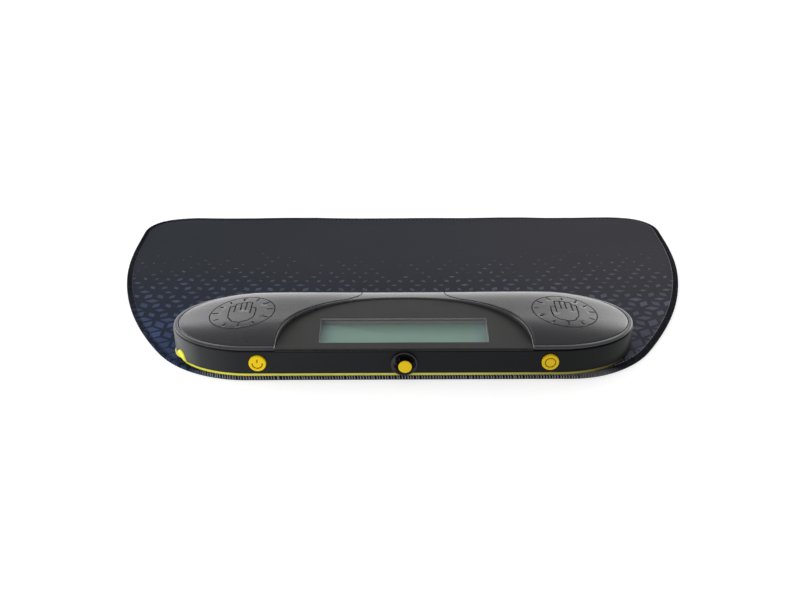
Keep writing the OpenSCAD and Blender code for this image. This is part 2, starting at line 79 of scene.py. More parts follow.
def case_loop(d, n=84, step=5.0):
    """Plan of the housing inset by d: straight front and back, elliptical ends."""
    a, b = END_A - d, HD - d
    pts = [(CX + a * math.cos(math.radians(-90 + 180 * i / n)), HD + b * math.sin(math.radians(-90 + 180 * i / n))) for i in range(n + 1)]
    m = int(2 * CX / step)
    pts += [(CX - 2 * CX * i / m, HD + b) for i in range(1, m)]
    pts += [(-CX + a * math.cos(math.radians(90 + 180 * i / n)), HD + b * math.sin(math.radians(90 + 180 * i / n))) for i in range(n + 1)]
    pts += [(-CX + 2 * CX * i / m, HD - b) for i in range(1, m)]
    return np.array(pts)


def arch_pt(w, h, t):
    t = math.radians(t)
    return (w * max(0.0, math.cos(t)) ** (2 / 2.4), 1 + h * max(0.0, math.sin(t)) ** (2 / 2.4))


def panel_loop(d, y0, n=150, w=80.0, h=54.1):
    right = [arch_pt(w - d, h - d, 90 * i / n) for i in range(n + 1)]
    pts = [(w - d, y0)] + right + [(-x, y) for x, y in right[-2::-1]] + [(-(w - d), y0)]
    pts += line(pts[-1], pts[0], 4.0)
    return np.array(pts)


def pad_loop(d, side=1, n=70):
    """Plan of a hand pad, inset by d."""
    w, h, yf = 81.4 + d, 56.5 + d, LEDGE_W + d
    t0 = math.degrees(math.asin(((yf - 1) / h) ** 1.2))
    t1 = 67.0
    pts = [arch_pt(w, h, t1 + (t0 - t1) * (i / n) ** 0.8) for i in range(n + 1)]
    a, b = END_A - LEDGE_W - d, HD - LEDGE_W - d
    pts += line(pts[-1], (CX, HD - b), 3.0)
    pts += [(CX + a * math.cos(math.radians(-90 + 180 * i / 84)), HD + b * math.sin(math.radians(-90 + 180 * i / 84))) for i in range(85)]
    tip = (27.5 + d, 73 - yf)
    pts += line(pts[-1], tip, 3.0) + [tip]
    q = [(28.5 + d, 60.5 + 0.4 * d), (31.5 + d, 57.4 + 0.8 * d), pts[0]]
    pts += line(tip, q[0], 2.0) + [q[0]] + line(q[0], q[1], 2.0) + [q[1]] + line(q[1], q[2], 2.0)
    out = np.array(pts)
    if side < 0:
        out = out[::-1] * np.array([-1.0, 1.0])
    return out


def arc(p, a, r, s, n):
    out = []
    for i in range(1, n + 1):
        b = a + s * i / n
        out.append((p[0] + r * (math.sin(math.radians(b)) - math.sin(math.radians(a))),
                    p[1] + r * (math.cos(math.radians(a)) - math.cos(math.radians(b)))))
    return out


def mat_loop(d, step=4.0):
    """Plan of the mat, inset by d, before the edge's own small waves."""
    p0 = (99.0, -0.8 + d)
    s1 = arc(p0, 0, 78 - d, 54, 26)
    s2 = arc(s1[-1], 54, 285 - d, 36, 50)
    k1 = arc((0, 0), 90, 27 - d, 72, 20)
    k2 = arc(k1[-1], 162, 70 - d, 18, 10)
    q = (s2[-1][0], 250 - d - k2[-1][1])
    half = [p0] + s1 + s2 + line(s2[-1], q, step) + [q] + [(q[0] + v[0], q[1] + v[1]) for v in k1] + [(q[0] + v[0], q[1] + v[1]) for v in k2]
    top = line(half[-1], (-half[-1][0], half[-1][1]), step)
    left = [(-x, y) for x, y in half[::-1]]
    return np.array(half + top + left + line(left[-1], half[0], step))


def smooth(t):
    t = np.clip(t, 0, 1)
    return t * t * (3 - 2 * t)


def mat_wave(v, lift=True):
    """The small waves of the mat: its back edge isn't quite straight, and it lifts a little there."""
    v = np.array(v, float)
    x, y = v[:, 0].copy(), v[:, 1].copy()
    far = smooth((y - 190) / 60)
    wander = np.interp(x, [-216, -175, -150, -125, -100, -75, -40, 0, 50, 70, 85, 105, 125, 150, 180, 216],
                       [0, 0.3, -1.0, -1.0, 0.2, 0.9, -0.4, -1.5, -1.5, -0.2, 0.7, 0.7, -1.2, -2.3, -2.2, -1.0])
    v[:, 1] += far * wander
    near = smooth((60 - y) / 60)
    v[:, 1] -= 1.3 * near * smooth((x - 95) / 30)
    v[:, 0] += 0.6 * smooth((np.abs(x) - 95) / 30) * np.where(x > 0, 1 - far, near)
    if lift:
        side = smooth((np.abs(x) - 120) / 90) * smooth((y - 95) / 60)
        h = 0.35 * far * (1 + np.sin(x / 23.0 + 0.6)) + 0.3 * side * (1 + np.sin(y / 17.0))
        v[:, 2] += h * smooth((y - 90) / 30)
    return v


# ------------------------------------------------------------------ heights of the top
def crown(v):
    v = np.asarray(v, float)
    full = np.where(v < 0, 1 - np.clip(-v, 0, 1) ** 3.2, np.sqrt(np.clip(1 - np.clip(v, 0, 1) ** 8, 0, 1)))
    # a slight fall from the crest at the back towards the front
    t = np.clip((0.65 - v) / 0.9, 0, 1)
    return full - 0.085 * t * t * (3 - 2 * t) * (1 - np.clip(-v, 0, 1) ** 2)


def half_depth(x):
    q = np.clip((np.abs(x) - CX) / (END_A - LEDGE_W), 0, 1)
    return (HD - LEDGE_W) * np.sqrt(np.clip(1 - q * q, 0, 1))


def pad_z(x, y):
    ax = np.abs(x)
    fall = np.where(ax < 80, 0.93 + 0.07 * np.clip((ax - 30) / 40, 0, 1), 1 - 0.00135 * (ax - 80) ** 2 / 5.9)
    h = np.maximum(half_depth(x), 0.5)
    v = (y - HD) / h
    return ZL + 0.2 + np.where(np.abs(v) < 1, 5.8 * fall * crown(v), 0)


def band_z(y):
    v = (y - HD) / (HD - LEDGE_W)
    return ZL + 0.2 + np.where(np.abs(v) < 1, 5.4 * crown(v), 0)


def panel_plane(y):
    return PL_Z + SLOPE * y


# ------------------------------------------------------------------ helpers: meshes
def in_poly(poly, p):
    x, y = p[:, 0], p[:, 1]
    inside = np.zeros(len(p), bool)
    j = len(poly) - 1
    for i in range(len(poly)):
        xi, yi = poly[i]
        xj, yj = poly[j]
        if yi != yj:
            cross = (yi > y) != (yj > y)
            inside ^= cross & (x < (xj - xi) * (y - yi) / (yj - yi) + xi)
        j = i
    return inside


def dist_to(polyline, p, closed=True):
    """Distance of each point to a polyline."""
    a = np.asarray(polyline, float)
    b = np.roll(a, -1, axis=0) if closed else a[1:]
    a = a if closed else a[:-1]
    best = np.full(len(p), 1e9)
    ab = b - a
    ll = np.maximum((ab ** 2).sum(1), 1e-12)
    for k in range(0, len(p), 4000):
        q = p[k:k + 4000]
        t = np.clip(((q[:, None, :] - a[None]) * ab[None]).sum(2) / ll[None], 0, 1)
        d = q[:, None, :] - (a[None] + t[..., None] * ab[None])
        best[k:k + 4000] = np.sqrt((d ** 2).sum(2)).min(1)
    return best


def offset_line(pts, d, closed):
    p = np.asarray(pts, float)
    if closed:
        t = np.roll(p, -1, 0) - np.roll(p, 1, 0)
    else:
        t = np.gradient(p, axis=0)
    t /= np.maximum(np.linalg.norm(t, axis=1), 1e-9)[:, None]
    return p + d * np.column_stack([-t[:, 1], t[:, 0]])


def resample(pts, step, closed):
    """Points a fixed distance apart along a polyline."""
    p = np.asarray(pts, float)
    if closed:
        p = np.vstack([p, p[:1]])
    s = np.concatenate([[0], np.cumsum(np.linalg.norm(np.diff(p, axis=0), axis=1))])
    n = max(2, int(round(s[-1] / step)))
    u = np.linspace(0, s[-1], n + 1)
    if closed:
        u = u[:-1]
    return np.column_stack([np.interp(u, s, p[:, k]) for k in range(p.shape[1])])


def spline(ctrl, closed, per=8):
    """Smooth curve through the control points."""
    c = np.asarray(ctrl, float)
    n = len(c)
    out = []
    last = n if closed else n - 1
    for i in range(last):
        if closed:
            p0, p1, p2, p3 = c[(i - 1) % n], c[i], c[(i + 1) % n], c[(i + 2) % n]
        else:
            p0, p1, p2, p3 = c[max(i - 1, 0)], c[i], c[i + 1], c[min(i + 2, n - 1)]
        for k in range(per):
            t = k / per
            out.append(0.5 * ((2 * p1) + (-p0 + p2) * t + (2 * p0 - 5 * p1 + 4 * p2 - p3) * t * t + (-p0 + 3 * p1 - 3 * p2 + p3) * t ** 3))
    if not closed:
        out.append(c[-1])
    return np.array(out)


def drop(d, r):
    """How far a rounded edge of radius r has fallen at distance d from the edge."""
    q = np.clip(r - d, 0, r)
    return r - np.sqrt(np.maximum(r * r - q * q, 0))


def finish_mesh(obj, angle=38.0, merge=0.0):
    bm = bmesh.new()
    bm.from_mesh(obj.data)
    if merge:
        bmesh.ops.remove_doubles(bm, verts=bm.verts, dist=merge)
    bmesh.ops.recalc_face_normals(bm, faces=bm.faces)
    bm.to_mesh(obj.data)
    bm.free()
    obj.data.shade_smooth()
    obj.data.set_sharp_from_angle(angle=math.radians(angle))
    return obj


def make(name, verts, faces, material=None, angle=38.0, merge=0.0, to_frame=True):
    """New object from vertices in timer millimetres."""
    v = place_all(verts) if to_frame else np.asarray(verts, float)
    me = bpy.data.meshes.new(name)
    me.from_pydata(v.tolist(), [], [list(map(int, f)) for f in faces])
    me.validate()
    obj = bpy.data.objects.new(name, me)
    bpy.context.scene.collection.objects.link(obj)
    finish_mesh(obj, angle, merge)
    if material is not None:
        me.materials.append(material)
    return obj


def join(parts, name):
    """Joins separate closed shells into one object, keeping each one's material."""
    bpy.ops.object.select_all(action="DESELECT")
    for o in parts:
        o.select_set(True)
    bpy.context.view_layer.objects.active = parts[0]
    bpy.ops.object.join()
    parts[0].name = name
    parts[0].data.name = name
    return parts[0]


def cdt(points, edges):
    res = geometry.delaunay_2d_cdt([Vector(p) for p in points], edges, [], 0, 1e-5)
    v = np.array([tuple(p) for p in res[0]], float)
    f = np.array([tuple(t) for t in res[2] if len(t) == 3], int)
    return v, f


def loops_to_edges(loops):
    pts, edges = [], []
    for loop, closed in loops:
        k = len(pts)
        n = len(loop)
        pts += [tuple(p) for p in loop]
        edges += [(k + i, k + (i + 1) % n) for i in range(n if closed else n - 1)]
    return pts, edges


def shell(top_v, tris, top_z, bottom_z, keep):
    """Closed solid from a triangulated top: walls down its boundary, and a plain bottom."""
    edge_face = {}
    for a, b, c in tris:
        for e in ((a, b), (b, c), (c, a)):
            k = (min(e), max(e))
            edge_face[k] = None if k in edge_face else e
    rim = [e for e in edge_face.values() if e is not None]
    used = sorted({i for e in rim for i in e})
    new = {v: len(top_v) + k for k, v in enumerate(used)}
    flat = top_v[used]
    zb = bottom_z(flat[:, 0], flat[:, 1]) if callable(bottom_z) else np.full(len(flat), float(bottom_z))
    verts = np.vstack([np.column_stack([top_v, top_z]), np.column_stack([flat, zb])])
    faces = [tuple(t) for t in tris]
    faces += [(e[1], e[0], new[e[0]], new[e[1]]) for e in rim]
    local = {v: k for k, v in enumerate(used)}
    bv, bt = cdt(flat, [(local[a], local[b]) for a, b in rim])
    mid = bv[bt].mean(1)
    bt = bt[keep(mid)]
    # the bottom keeps the rim's own vertices, matched by place
    if len(bv) > len(flat):
        raise RuntimeError("rim crosses itself")
    order = np.lexsort((flat[:, 1], flat[:, 0]))
    back = {}
    kd = kdtree.KDTree(len(flat))
    for i, p in enumerate(flat):
        kd.insert((p[0], p[1], 0), i)
    kd.balance()
    for i, p in enumerate(bv):
        back[i] = kd.find((p[0], p[1], 0))[1]
    faces += [(len(top_v) + back[c], len(top_v) + back[b], len(top_v) + back[a]) for a, b, c in bt]
    return verts, faces


def relief(name, rims, keep, top, bottom, material, grooves=(), spacing=2.0, to_timer=None, angle=38.0, groove_depth=0.4, groove_w=0.36, clip_steps=(0.0, 0.1, 0.3, 0.6, 1.0)):
    """A moulded plate: rims are (function of inset, rounding radius); keep says which points are inside;
    grooves are (polyline, closed), engraved into the top."""
    loops = []
    walls = []
    for fn, r in rims:
        walls.append((fn(0.0), r))
        for k in clip_steps:
            loops.append((fn(k * r), True))
        loops.append((fn(r + 0.5), True))
    lines = []
    for g, closed in grooves:
        for o in (0.0, 0.13, -0.13, groove_w, -groove_w):
            lines.append((offset_line(g, o, closed) if o else np.asarray(g, float), closed))
    pts, edges = loops_to_edges(loops + lines)
    have = np.array(pts)
    lo, hi = have.min(0), have.max(0)
    gx, gy = np.meshgrid(np.arange(lo[0], hi[0], spacing), np.arange(lo[1], hi[1], spacing * 0.866))
    gx = gx + (np.arange(gx.shape[0]) % 2)[:, None] * spacing / 2
    grid = np.column_stack([gx.ravel(), gy.ravel()])
    grid = grid[keep(grid)]
    near = np.full(len(grid), 1e9)
    for w, _ in walls:
        near = np.minimum(near, dist_to(w, grid))
    ok = near > max(r for _, r in rims) + 0.5 + 0.4 * spacing
    for g, closed in grooves:
        ok &= dist_to(g, grid, closed) > groove_w + 0.35 * spacing
    grid = grid[ok]
    v, t = cdt(list(map(tuple, have)) + list(map(tuple, grid)), edges)
    t = t[keep(v[t].mean(1))]
    area = np.abs((v[t[:, 1], 0] - v[t[:, 0], 0]) * (v[t[:, 2], 1] - v[t[:, 0], 1]) - (v[t[:, 2], 0] - v[t[:, 0], 0]) * (v[t[:, 1], 1] - v[t[:, 0], 1]))
    t = t[area > 1e-9]
    used = np.unique(t)
    index = np.full(len(v), -1)
    index[used] = np.arange(len(used))
    v, t = v[used], index[t]
    z = top(v[:, 0], v[:, 1])
    fall = np.zeros(len(v))
    for w, r in walls:
        fall = np.maximum(fall, drop(dist_to(w, v), r))
    z = z - fall
    if grooves:
        d = np.full(len(v), 1e9)
        for g, closed in grooves:
            d = np.minimum(d, dist_to(g, v, closed))
        z = z - groove_depth * (1 - smooth((d - 0.08) / (groove_w - 0.08)))
    verts, faces = shell(v, t, z, bottom, keep)
    if to_timer is not None:
        verts = to_timer(verts)
    return make(name, verts, faces, material, angle)


def sweep(name, loop_fn, profile, material, angle=38.0, post=None):
    """A closed profile of (inset, height) carried round an outline."""
    rings = [np.column_stack([loop_fn(d), np.full(len(loop_fn(d)), z)]) for d, z in profile]
    n, m = len(rings[0]), len(rings)
    verts = np.vstack(rings)
    faces = []
    for j in range(m):
        a, b = j * n, ((j + 1) % m) * n
        faces += [(a + i, a + (i + 1) % n, b + (i + 1) % n, b + i) for i in range(n)]
    if post is not None:
        verts = post(verts)
    return make(name, verts, faces, material, angle)


def round_corners(corners, radii, steps=5):
    """Polygon with its corners rounded: corners are (a, b), radii one for each."""
    out = []
    n = len(corners)
    for i in range(n):
        p, a, b = (np.array(corners[k % n], float) for k in (i, i - 1, i + 1))
        r = radii[i]
        if r <= 0:
            out.append(tuple(p))
            continue
        u, w = (a - p) / np.linalg.norm(a - p), (b - p) / np.linalg.norm(b - p)
        half = math.acos(max(-1, min(1, float(u @ w)))) / 2
        cut = min(r / math.tan(half), 0.49 * np.linalg.norm(a - p), 0.49 * np.linalg.norm(b - p))
        s, e = p + u * cut, p + w * cut
        for k in range(steps + 1):
            t = k / steps
            out.append(tuple((1 - t) ** 2 * s + 2 * t * (1 - t) * p + t * t * e))
    return out


def lathe(name, profile, centre, material, n=96, angle=38.0):
    """Turns a profile of (radius, y) about the line through centre along y."""
    cx, cz = centre
    verts, faces = [], []
    m = len(profile)
    for i in range(n):
        a = 2 * math.pi * i / n
        verts += [(cx + r * math.cos(a), y, cz + r * math.sin(a)) for r, y in profile]
    for i in range(n):
        a, b = i * m, ((i + 1) % n) * m
        for j in range(m):
            k = (j + 1) % m
            faces.append((a + j, a + k, b + k, b + j))
    return make(name, verts, faces, material, angle, merge=1e-7)


def tubes(name, paths, radius, material, sides=6, post=None, angle=60.0):
    """Many short round threads in one mesh, each with rounded ends."""
    verts, faces = [], []
    for path in paths:
        p = np.asarray(path, float)
        k = len(p)
        t = np.gradient(p, axis=0)
        t /= np.linalg.norm(t, axis=1)[:, None]
        ref = np.array([0.31, 0.17, 0.93])
        start = len(verts)
        u = np.cross(t[0], ref)
        u /= np.linalg.norm(u)
        for i in range(k):
            u = u - t[i] * (u @ t[i])
            u /= np.linalg.norm(u)
            w = np.cross(t[i], u)
            r = radius * (0.55 if i in (0, k - 1) else 1.0)
            for j in range(sides):
                a = 2 * math.pi * j / sides
                verts.append(p[i] + r * (math.cos(a) * u + math.sin(a) * w))
        for i in range(k - 1):
            for j in range(sides):
                a, b = start + i * sides, start + (i + 1) * sides
                faces.append((a + j, a + (j + 1) % sides, b + (j + 1) % sides, b + j))
        faces.append(tuple(start + j for j in range(sides))[::-1])
        faces.append(tuple(start + (k - 1) * sides + j for j in range(sides)))
    verts = np.array(verts)
    if post is not None:
        verts = post(verts)
    return make(name, verts, faces, material, angle)


def cut(obj, cutters):
    """Subtracts closed cutters from a closed mesh."""
    for c in cutters:
        mod = obj.modifiers.new("cut", "BOOLEAN")
        mod.operation = "DIFFERENCE"
        mod.object = c
        mod.solver = "EXACT"
    dg = bpy.context.evaluated_depsgraph_get()
    me = bpy.data.meshes.new_from_object(obj.evaluated_get(dg))
    obj.modifiers.clear()
    old = obj.data
    obj.data = me
    bpy.data.meshes.remove(old)
    for c in cutters:
        bpy.data.objects.remove(c)
    return finish_mesh(obj, 30.0)


def cylinder_y(x, z, r, y0, y1, n=96):
    return lathe("cutter", [(0, y0), (r, y0), (r, y1), (0, y1)], (x, z), None, n)


# ------------------------------------------------------------------ helpers: shader nodes
def socket(nt, to, value):
    if isinstance(value, bpy.types.NodeSocket):
        nt.links.new(value, to)
    elif value is not None:
        to.default_value = value


def add(nt, kind, ins=None, **props):
    n = nt.nodes.new(kind)
    for k, v in props.items():
        setattr(n, k, v)
    for k, v in (ins or {}).items():
        socket(nt, n.inputs[k], v)
    return n


def math_node(nt, op, a, b=None, c=None, clamp=False):
    n = add(nt, "ShaderNodeMath", {0: a, 1: b, 2: c}, operation=op, use_clamp=clamp)
    return n.outputs[0]


def vec(nt, op, a, b=None, out=0):
    n = add(nt, "ShaderNodeVectorMath", {0: a, 1: b}, operation=op)
    return n.outputs["Value"] if op in ("DOT_PRODUCT", "LENGTH") else n.outputs[0]


def mix(nt, f, a, b):
    n = nt.nodes.new("ShaderNodeMix")
    n.data_type = "RGBA"
    socket(nt, n.inputs["Factor"], f)
    socket(nt, n.inputs[6], a)
    socket(nt, n.inputs[7], b)
    return n.outputs[2]


def shade_socket(nt, colour, k):
    out = vec(nt, "SCALE", colour)
    nt.nodes[-1].inputs["Scale"].default_value = k
    return out


def remap(nt, v, a, b, c, d):
    return add(nt, "ShaderNodeMapRange", {"Value": v, "From Min": a, "From Max": b, "To Min": c, "To Max": d}, clamp=True).outputs[0]


def start(name, **consts):
    """New material with a Principled shader; constants go straight onto its sockets."""
    m = bpy.data.materials.new(name)
    m.use_nodes = True
    nt = m.node_tree
    bsdf = nt.nodes["Principled BSDF"]
    for k, v in consts.items():
        bsdf.inputs[k.replace("_", " ")].default_value = v
    co = nt.nodes.new("ShaderNodeTexCoord").outputs["Object"]
    return m, nt, bsdf, co


def rgb(c):
    return (c[0], c[1], c[2], 1.0)


def shade(c, k):
    return (c[0] * k, c[1] * k, c[2] * k, 1.0)


def noise(nt, co, scale, detail=2.0, rough=0.5):
    return add(nt, "ShaderNodeTexNoise", {"Vector": co, "Scale": scale, "Detail": detail, "Roughness": rough}).outputs[0]


def bump(nt, bsdf, height, strength, distance):
    b = add(nt, "ShaderNodeBump", {"Height": height, "Strength": strength, "Distance": distance})
    nt.links.new(b.outputs[0], bsdf.inputs["Normal"])
    return b


def plastic(name, c, rough, grain=1500.0, depth=0.00002, strength=0.35, var=0.10, spread=0.06, **consts):
    """Moulded plastic: a fine spark texture, slow changes of gloss, and a trace of handling marks."""
    m, nt, bsdf, co = start(name, **consts)
    slow = noise(nt, co, 28.0, 3.0, 0.6)
    fine = noise(nt, co, grain, 2.0, 0.6)
    marks = noise(nt, vec(nt, "MULTIPLY", co, (60.0, 260.0, 160.0)), 1.0, 4.0, 0.7)
    tone = mix(nt, slow, shade(c, 1 - var), shade(c, 1 + var))
    tone = mix(nt, remap(nt, fine, 0.42, 0.72, 0.0, 0.35), tone, shade(c, 1.35))
    nt.links.new(tone, bsdf.inputs["Base Color"])
    r = math_node(nt, "ADD", remap(nt, slow, 0.3, 0.7, rough - spread, rough + spread), remap(nt, marks, 0.55, 0.75, 0.0, spread))
    nt.links.new(r, bsdf.inputs["Roughness"])
    bump(nt, bsdf, fine, strength, depth)
    return m


def metal(name, c, rough, lines=(900.0, 40.0, 900.0)):
    m, nt, bsdf, co = start(name, Metallic=1.0)
    brushed = noise(nt, vec(nt, "MULTIPLY", co, lines), 1.0, 3.0, 0.6)
    nt.links.new(mix(nt, brushed, shade(c, 0.85), shade(c, 1.12)), bsdf.inputs["Base Color"])
    nt.links.new(remap(nt, brushed, 0.3, 0.7, rough - 0.06, rough + 0.08), bsdf.inputs["Roughness"])
    bump(nt, bsdf, brushed, 0.2, 0.00001)
    return m


def rubber_material(name, c, rough, cell=700.0, depth=0.00012):
    m, nt, bsdf, co = start(name)
    cells = add(nt, "ShaderNodeTexVoronoi", {"Vector": co, "Scale": cell}).outputs["Distance"]
    slow = noise(nt, co, 60.0, 3.0)
    nt.links.new(mix(nt, cells, shade(c, 0.7), shade(c, 1.4)), bsdf.inputs["Base Color"])
    nt.links.new(remap(nt, slow, 0.3, 0.7, rough - 0.05, rough + 0.08), bsdf.inputs["Roughness"])
    bump(nt, bsdf, cells, 0.6, depth)
    return m


PRINT_Y = 0.888      # the printed rows lie a little closer than in the regular tiling


def rhombus_print(nt, co, s, size):
    """Strength of the printed rhombus pattern: three families of rhombi on a triangular grid, each one scaled
    about its own centre by size (0 is bare, 1 is closed up) and by a random share of its own."""
    w, h = math.sqrt(3) * s, 3 * s
    sep = add(nt, "ShaderNodeSeparateXYZ", {0: co})
    bow = math_node(nt, "MULTIPLY", math_node(nt, "MULTIPLY", sep.outputs[0], sep.outputs[0]), -0.12)
    row = math_node(nt, "ADD", sep.outputs[1], bow)
    flat = add(nt, "ShaderNodeCombineXYZ", {0: sep.outputs[0], 1: row, 2: 0.0}).outputs[0]
    mm = vec(nt, "SUBTRACT", vec(nt, "MULTIPLY", flat, (1000.0, 1000.0 / PRINT_Y, 0.0)), (11.2, -3.85 / PRINT_Y, 0.0))
    best = None
    for k, (ang, cx, cy) in enumerate(((0.0, 0.0, s / 2), (-60.0, -math.sqrt(3) / 4 * s, -s / 4), (60.0, math.sqrt(3) / 4 * s, -s / 4))):
        moved = vec(nt, "SUBTRACT", mm, (cx, cy, 0.0))
        turned = add(nt, "ShaderNodeVectorRotate", {"Vector": moved, "Angle": -math.radians(ang)}, rotation_type="Z_AXIS").outputs[0]
        for shift in ((0.0, 0.0), (w / 2, h / 2)):
            q = vec(nt, "SUBTRACT", turned, (shift[0], shift[1], 0.0))
            cell = vec(nt, "SNAP", vec(nt, "ADD", q, (w / 2, h / 2, 0.5)), (w, h, 1.0))
            away = vec(nt, "ABSOLUTE", vec(nt, "SUBTRACT", q, cell))
            d = vec(nt, "DOT_PRODUCT", away, (2 / w, 2 / s, 0.0))
            dice = add(nt, "ShaderNodeTexWhiteNoise", {"Vector": vec(nt, "ADD", cell, (shift[0] + 3.1 * k, 1.7 * k, 0.0))}, noise_dimensions="3D")
            r = dice.outputs["Value"]
            r2 = add(nt, "ShaderNodeSeparateColor", {0: dice.outputs["Color"]}).outputs[1]
            lim = math_node(nt, "MULTIPLY", size, math_node(nt, "MULTIPLY_ADD", r, 0.45, 0.72))
            lim = math_node(nt, "MINIMUM", lim, 0.86)
            mask = math_node(nt, "MULTIPLY_ADD", math_node(nt, "SUBTRACT", lim, d), 11.0, 0.5, clamp=True)
            # towards the bare back of the mat more and more of the rhombi are missing
            gate = math_node(nt, "MULTIPLY", math_node(nt, "ADD", math_node(nt, "MULTIPLY_ADD", size, 3.4, -0.95), r2), 6.0, clamp=True)
            mask = math_node(nt, "MULTIPLY", math_node(nt, "MULTIPLY", mask, gate), math_node(nt, "MULTIPLY_ADD", r2, 0.4, 0.6))
            best = mask if best is None else math_node(nt, "MAXIMUM", best, mask)
    return best


def front_left(nt, co):
    """1 at the front left corner of the mat, where the print turns blue, falling to 0 at the back right."""
    sep = add(nt, "ShaderNodeSeparateXYZ", {0: co})
    return math_node(nt, "MULTIPLY", remap(nt, sep.outputs[1], 0.03, -0.10, 0.0, 1.0), remap(nt, sep.outputs[0], 0.10, -0.17, 0.22, 1.0))


def cloth_colour(nt, co):
    """Ground and print of the mat's face (metres in the part frame)."""
    sep = add(nt, "ShaderNodeSeparateXYZ", {0: co})
    x, y = sep.outputs[0], sep.outputs[1]
    ax = math_node(nt, "ABSOLUTE", x)
    # growth of the pattern from the back of the mat towards its front corners
    base = remap(nt, y, 0.0774, -0.1226, 0.0, 1.0)
    side = remap(nt, ax, 0.0, 0.13, -0.06, 0.0)
    size = math_node(nt, "ADD", base, side, clamp=True)
    ink = rhombus_print(nt, co, 10.13, size)
    blue = front_left(nt, co)
    slow = noise(nt, co, 14.0, 3.0)
    # ground and print both lighter towards the right of the mat: painted light from the right
    across = remap(nt, x, -0.15, 0.17, 0.0, 1.0)
    ground = mix(nt, across, (0.021, 0.0245, 0.031, 1), (0.036, 0.0355, 0.043, 1))
    ground = mix(nt, slow, shade_socket(nt, ground, 0.92), shade_socket(nt, ground, 1.08))
    ground = mix(nt, blue, ground, (0.010, 0.016, 0.036, 1))
    tone = mix(nt, across, (0.062, 0.068, 0.092, 1), (0.092, 0.090, 0.118, 1))
    tone = mix(nt, blue, tone, (0.036, 0.062, 0.155, 1))
    return mix(nt, ink, ground, tone), x, y


def cloth_material(name):
    m, nt, bsdf, co = start(name)
    bsdf.inputs["Specular IOR Level"].default_value = 0.03
    colour, x, y = cloth_colour(nt, co)
    # close plain weave
    u = math_node(nt, "SINE", math_node(nt, "MULTIPLY", math_node(nt, "ADD", x, y), 2 * math.pi * 1500))
    v = math_node(nt, "SINE", math_node(nt, "MULTIPLY", math_node(nt, "SUBTRACT", x, y), 2 * math.pi * 1500))
    weave = math_node(nt, "MULTIPLY", u, v)
    fuzz = noise(nt, co, 2200.0, 3.0, 0.7)
    tint = math_node(nt, "ADD", remap(nt, weave, -1, 1, 0.92, 1.06), remap(nt, fuzz, 0.35, 0.7, -0.07, 0.10))
    colour = vec(nt, "SCALE", colour)
    nt.nodes[-1].inputs["Scale"].default_value = 1.0
    nt.links.new(tint, nt.nodes[-1].inputs["Scale"])
    nt.links.new(colour, bsdf.inputs["Base Color"])
    nt.links.new(remap(nt, fuzz, 0.3, 0.7, 0.66, 0.82), bsdf.inputs["Roughness"])
    relief_h = math_node(nt, "ADD", math_node(nt, "MULTIPLY", weave, 0.5), math_node(nt, "MULTIPLY", fuzz, 1.4))
    bump(nt, bsdf, relief_h, 0.45, 0.00006)
    return m


def binding_material(name):
    """Under-layer of the edge: black yarn, through which the print shows towards the front left corner."""
    m, nt, bsdf, co = start(name)
    bsdf.inputs["Specular IOR Level"].default_value = 0.03
    colour, x, y = cloth_colour(nt, co)
    ply = noise(nt, co, 1900.0, 3.0, 0.7)
    black = mix(nt, ply, (0.002, 0.002, 0.003, 1), (0.007, 0.007, 0.012, 1))
    show = math_node(nt, "MULTIPLY", remap(nt, y, 0.03, -0.05, 0.0, 1.0), remap(nt, x, -0.08, -0.15, 0.10, 1.0))
    nt.links.new(mix(nt, show, black, colour), bsdf.inputs["Base Color"])
    nt.links.new(remap(nt, ply, 0.3, 0.7, 0.6, 0.8), bsdf.inputs["Roughness"])
    bump(nt, bsdf, ply, 0.6, 0.00008)
    return m


def thread_material(name, c, lighter, front=None):
    """Spun yarn with its plies; front is its paler colour along the front edge, a painted highlight where the yarn
    faces the light.
    """
    m, nt, bsdf, co = start(name)
    bsdf.inputs["Specular IOR Level"].default_value = 0.08
    ply = noise(nt, co, 1900.0, 3.0, 0.7)
    slow = noise(nt, co, 90.0, 2.0)
    tone = mix(nt, ply, rgb(c), rgb(lighter))
    # the paler front edge is a painted highlight on the threads that face the light
    if front is not None:
        y = add(nt, "ShaderNodeSeparateXYZ", {0: co}).outputs[1]
        tone = mix(nt, remap(nt, y, -0.1135, -0.1205, 0.0, 1.0), tone, mix(nt, ply, shade(front, 0.7), shade(front, 1.3)))
    nt.links.new(mix(nt, math_node(nt, "MULTIPLY", slow, 0.5), tone, shade(c, 0.6)), bsdf.inputs["Base Color"])
    nt.links.new(remap(nt, ply, 0.3, 0.7, 0.48, 0.66), bsdf.inputs["Roughness"])
    bump(nt, bsdf, ply, 0.6, 0.00008)
    return m


def needle_material(name):
    """The needle line: pale on the right of the mat, dyed like the print on its left."""
    m, nt, bsdf, co = start(name)
    bsdf.inputs["Specular IOR Level"].default_value = 0.08
    x = add(nt, "ShaderNodeSeparateXYZ", {0: co}).outputs[0]
    ply = noise(nt, co, 1900.0, 3.0, 0.7)
    side = remap(nt, x, -0.16, 0.16, 0.0, 1.0)
    tone = mix(nt, side, (0.035, 0.045, 0.075, 1), (0.24, 0.23, 0.27, 1))
    nt.links.new(mix(nt, ply, shade_socket(nt, tone, 0.7), shade_socket(nt, tone, 1.4)), bsdf.inputs["Base Color"])
    nt.links.new(remap(nt, ply, 0.3, 0.7, 0.5, 0.7), bsdf.inputs["Roughness"])
    bump(nt, bsdf, ply, 0.6, 0.00008)
    return m


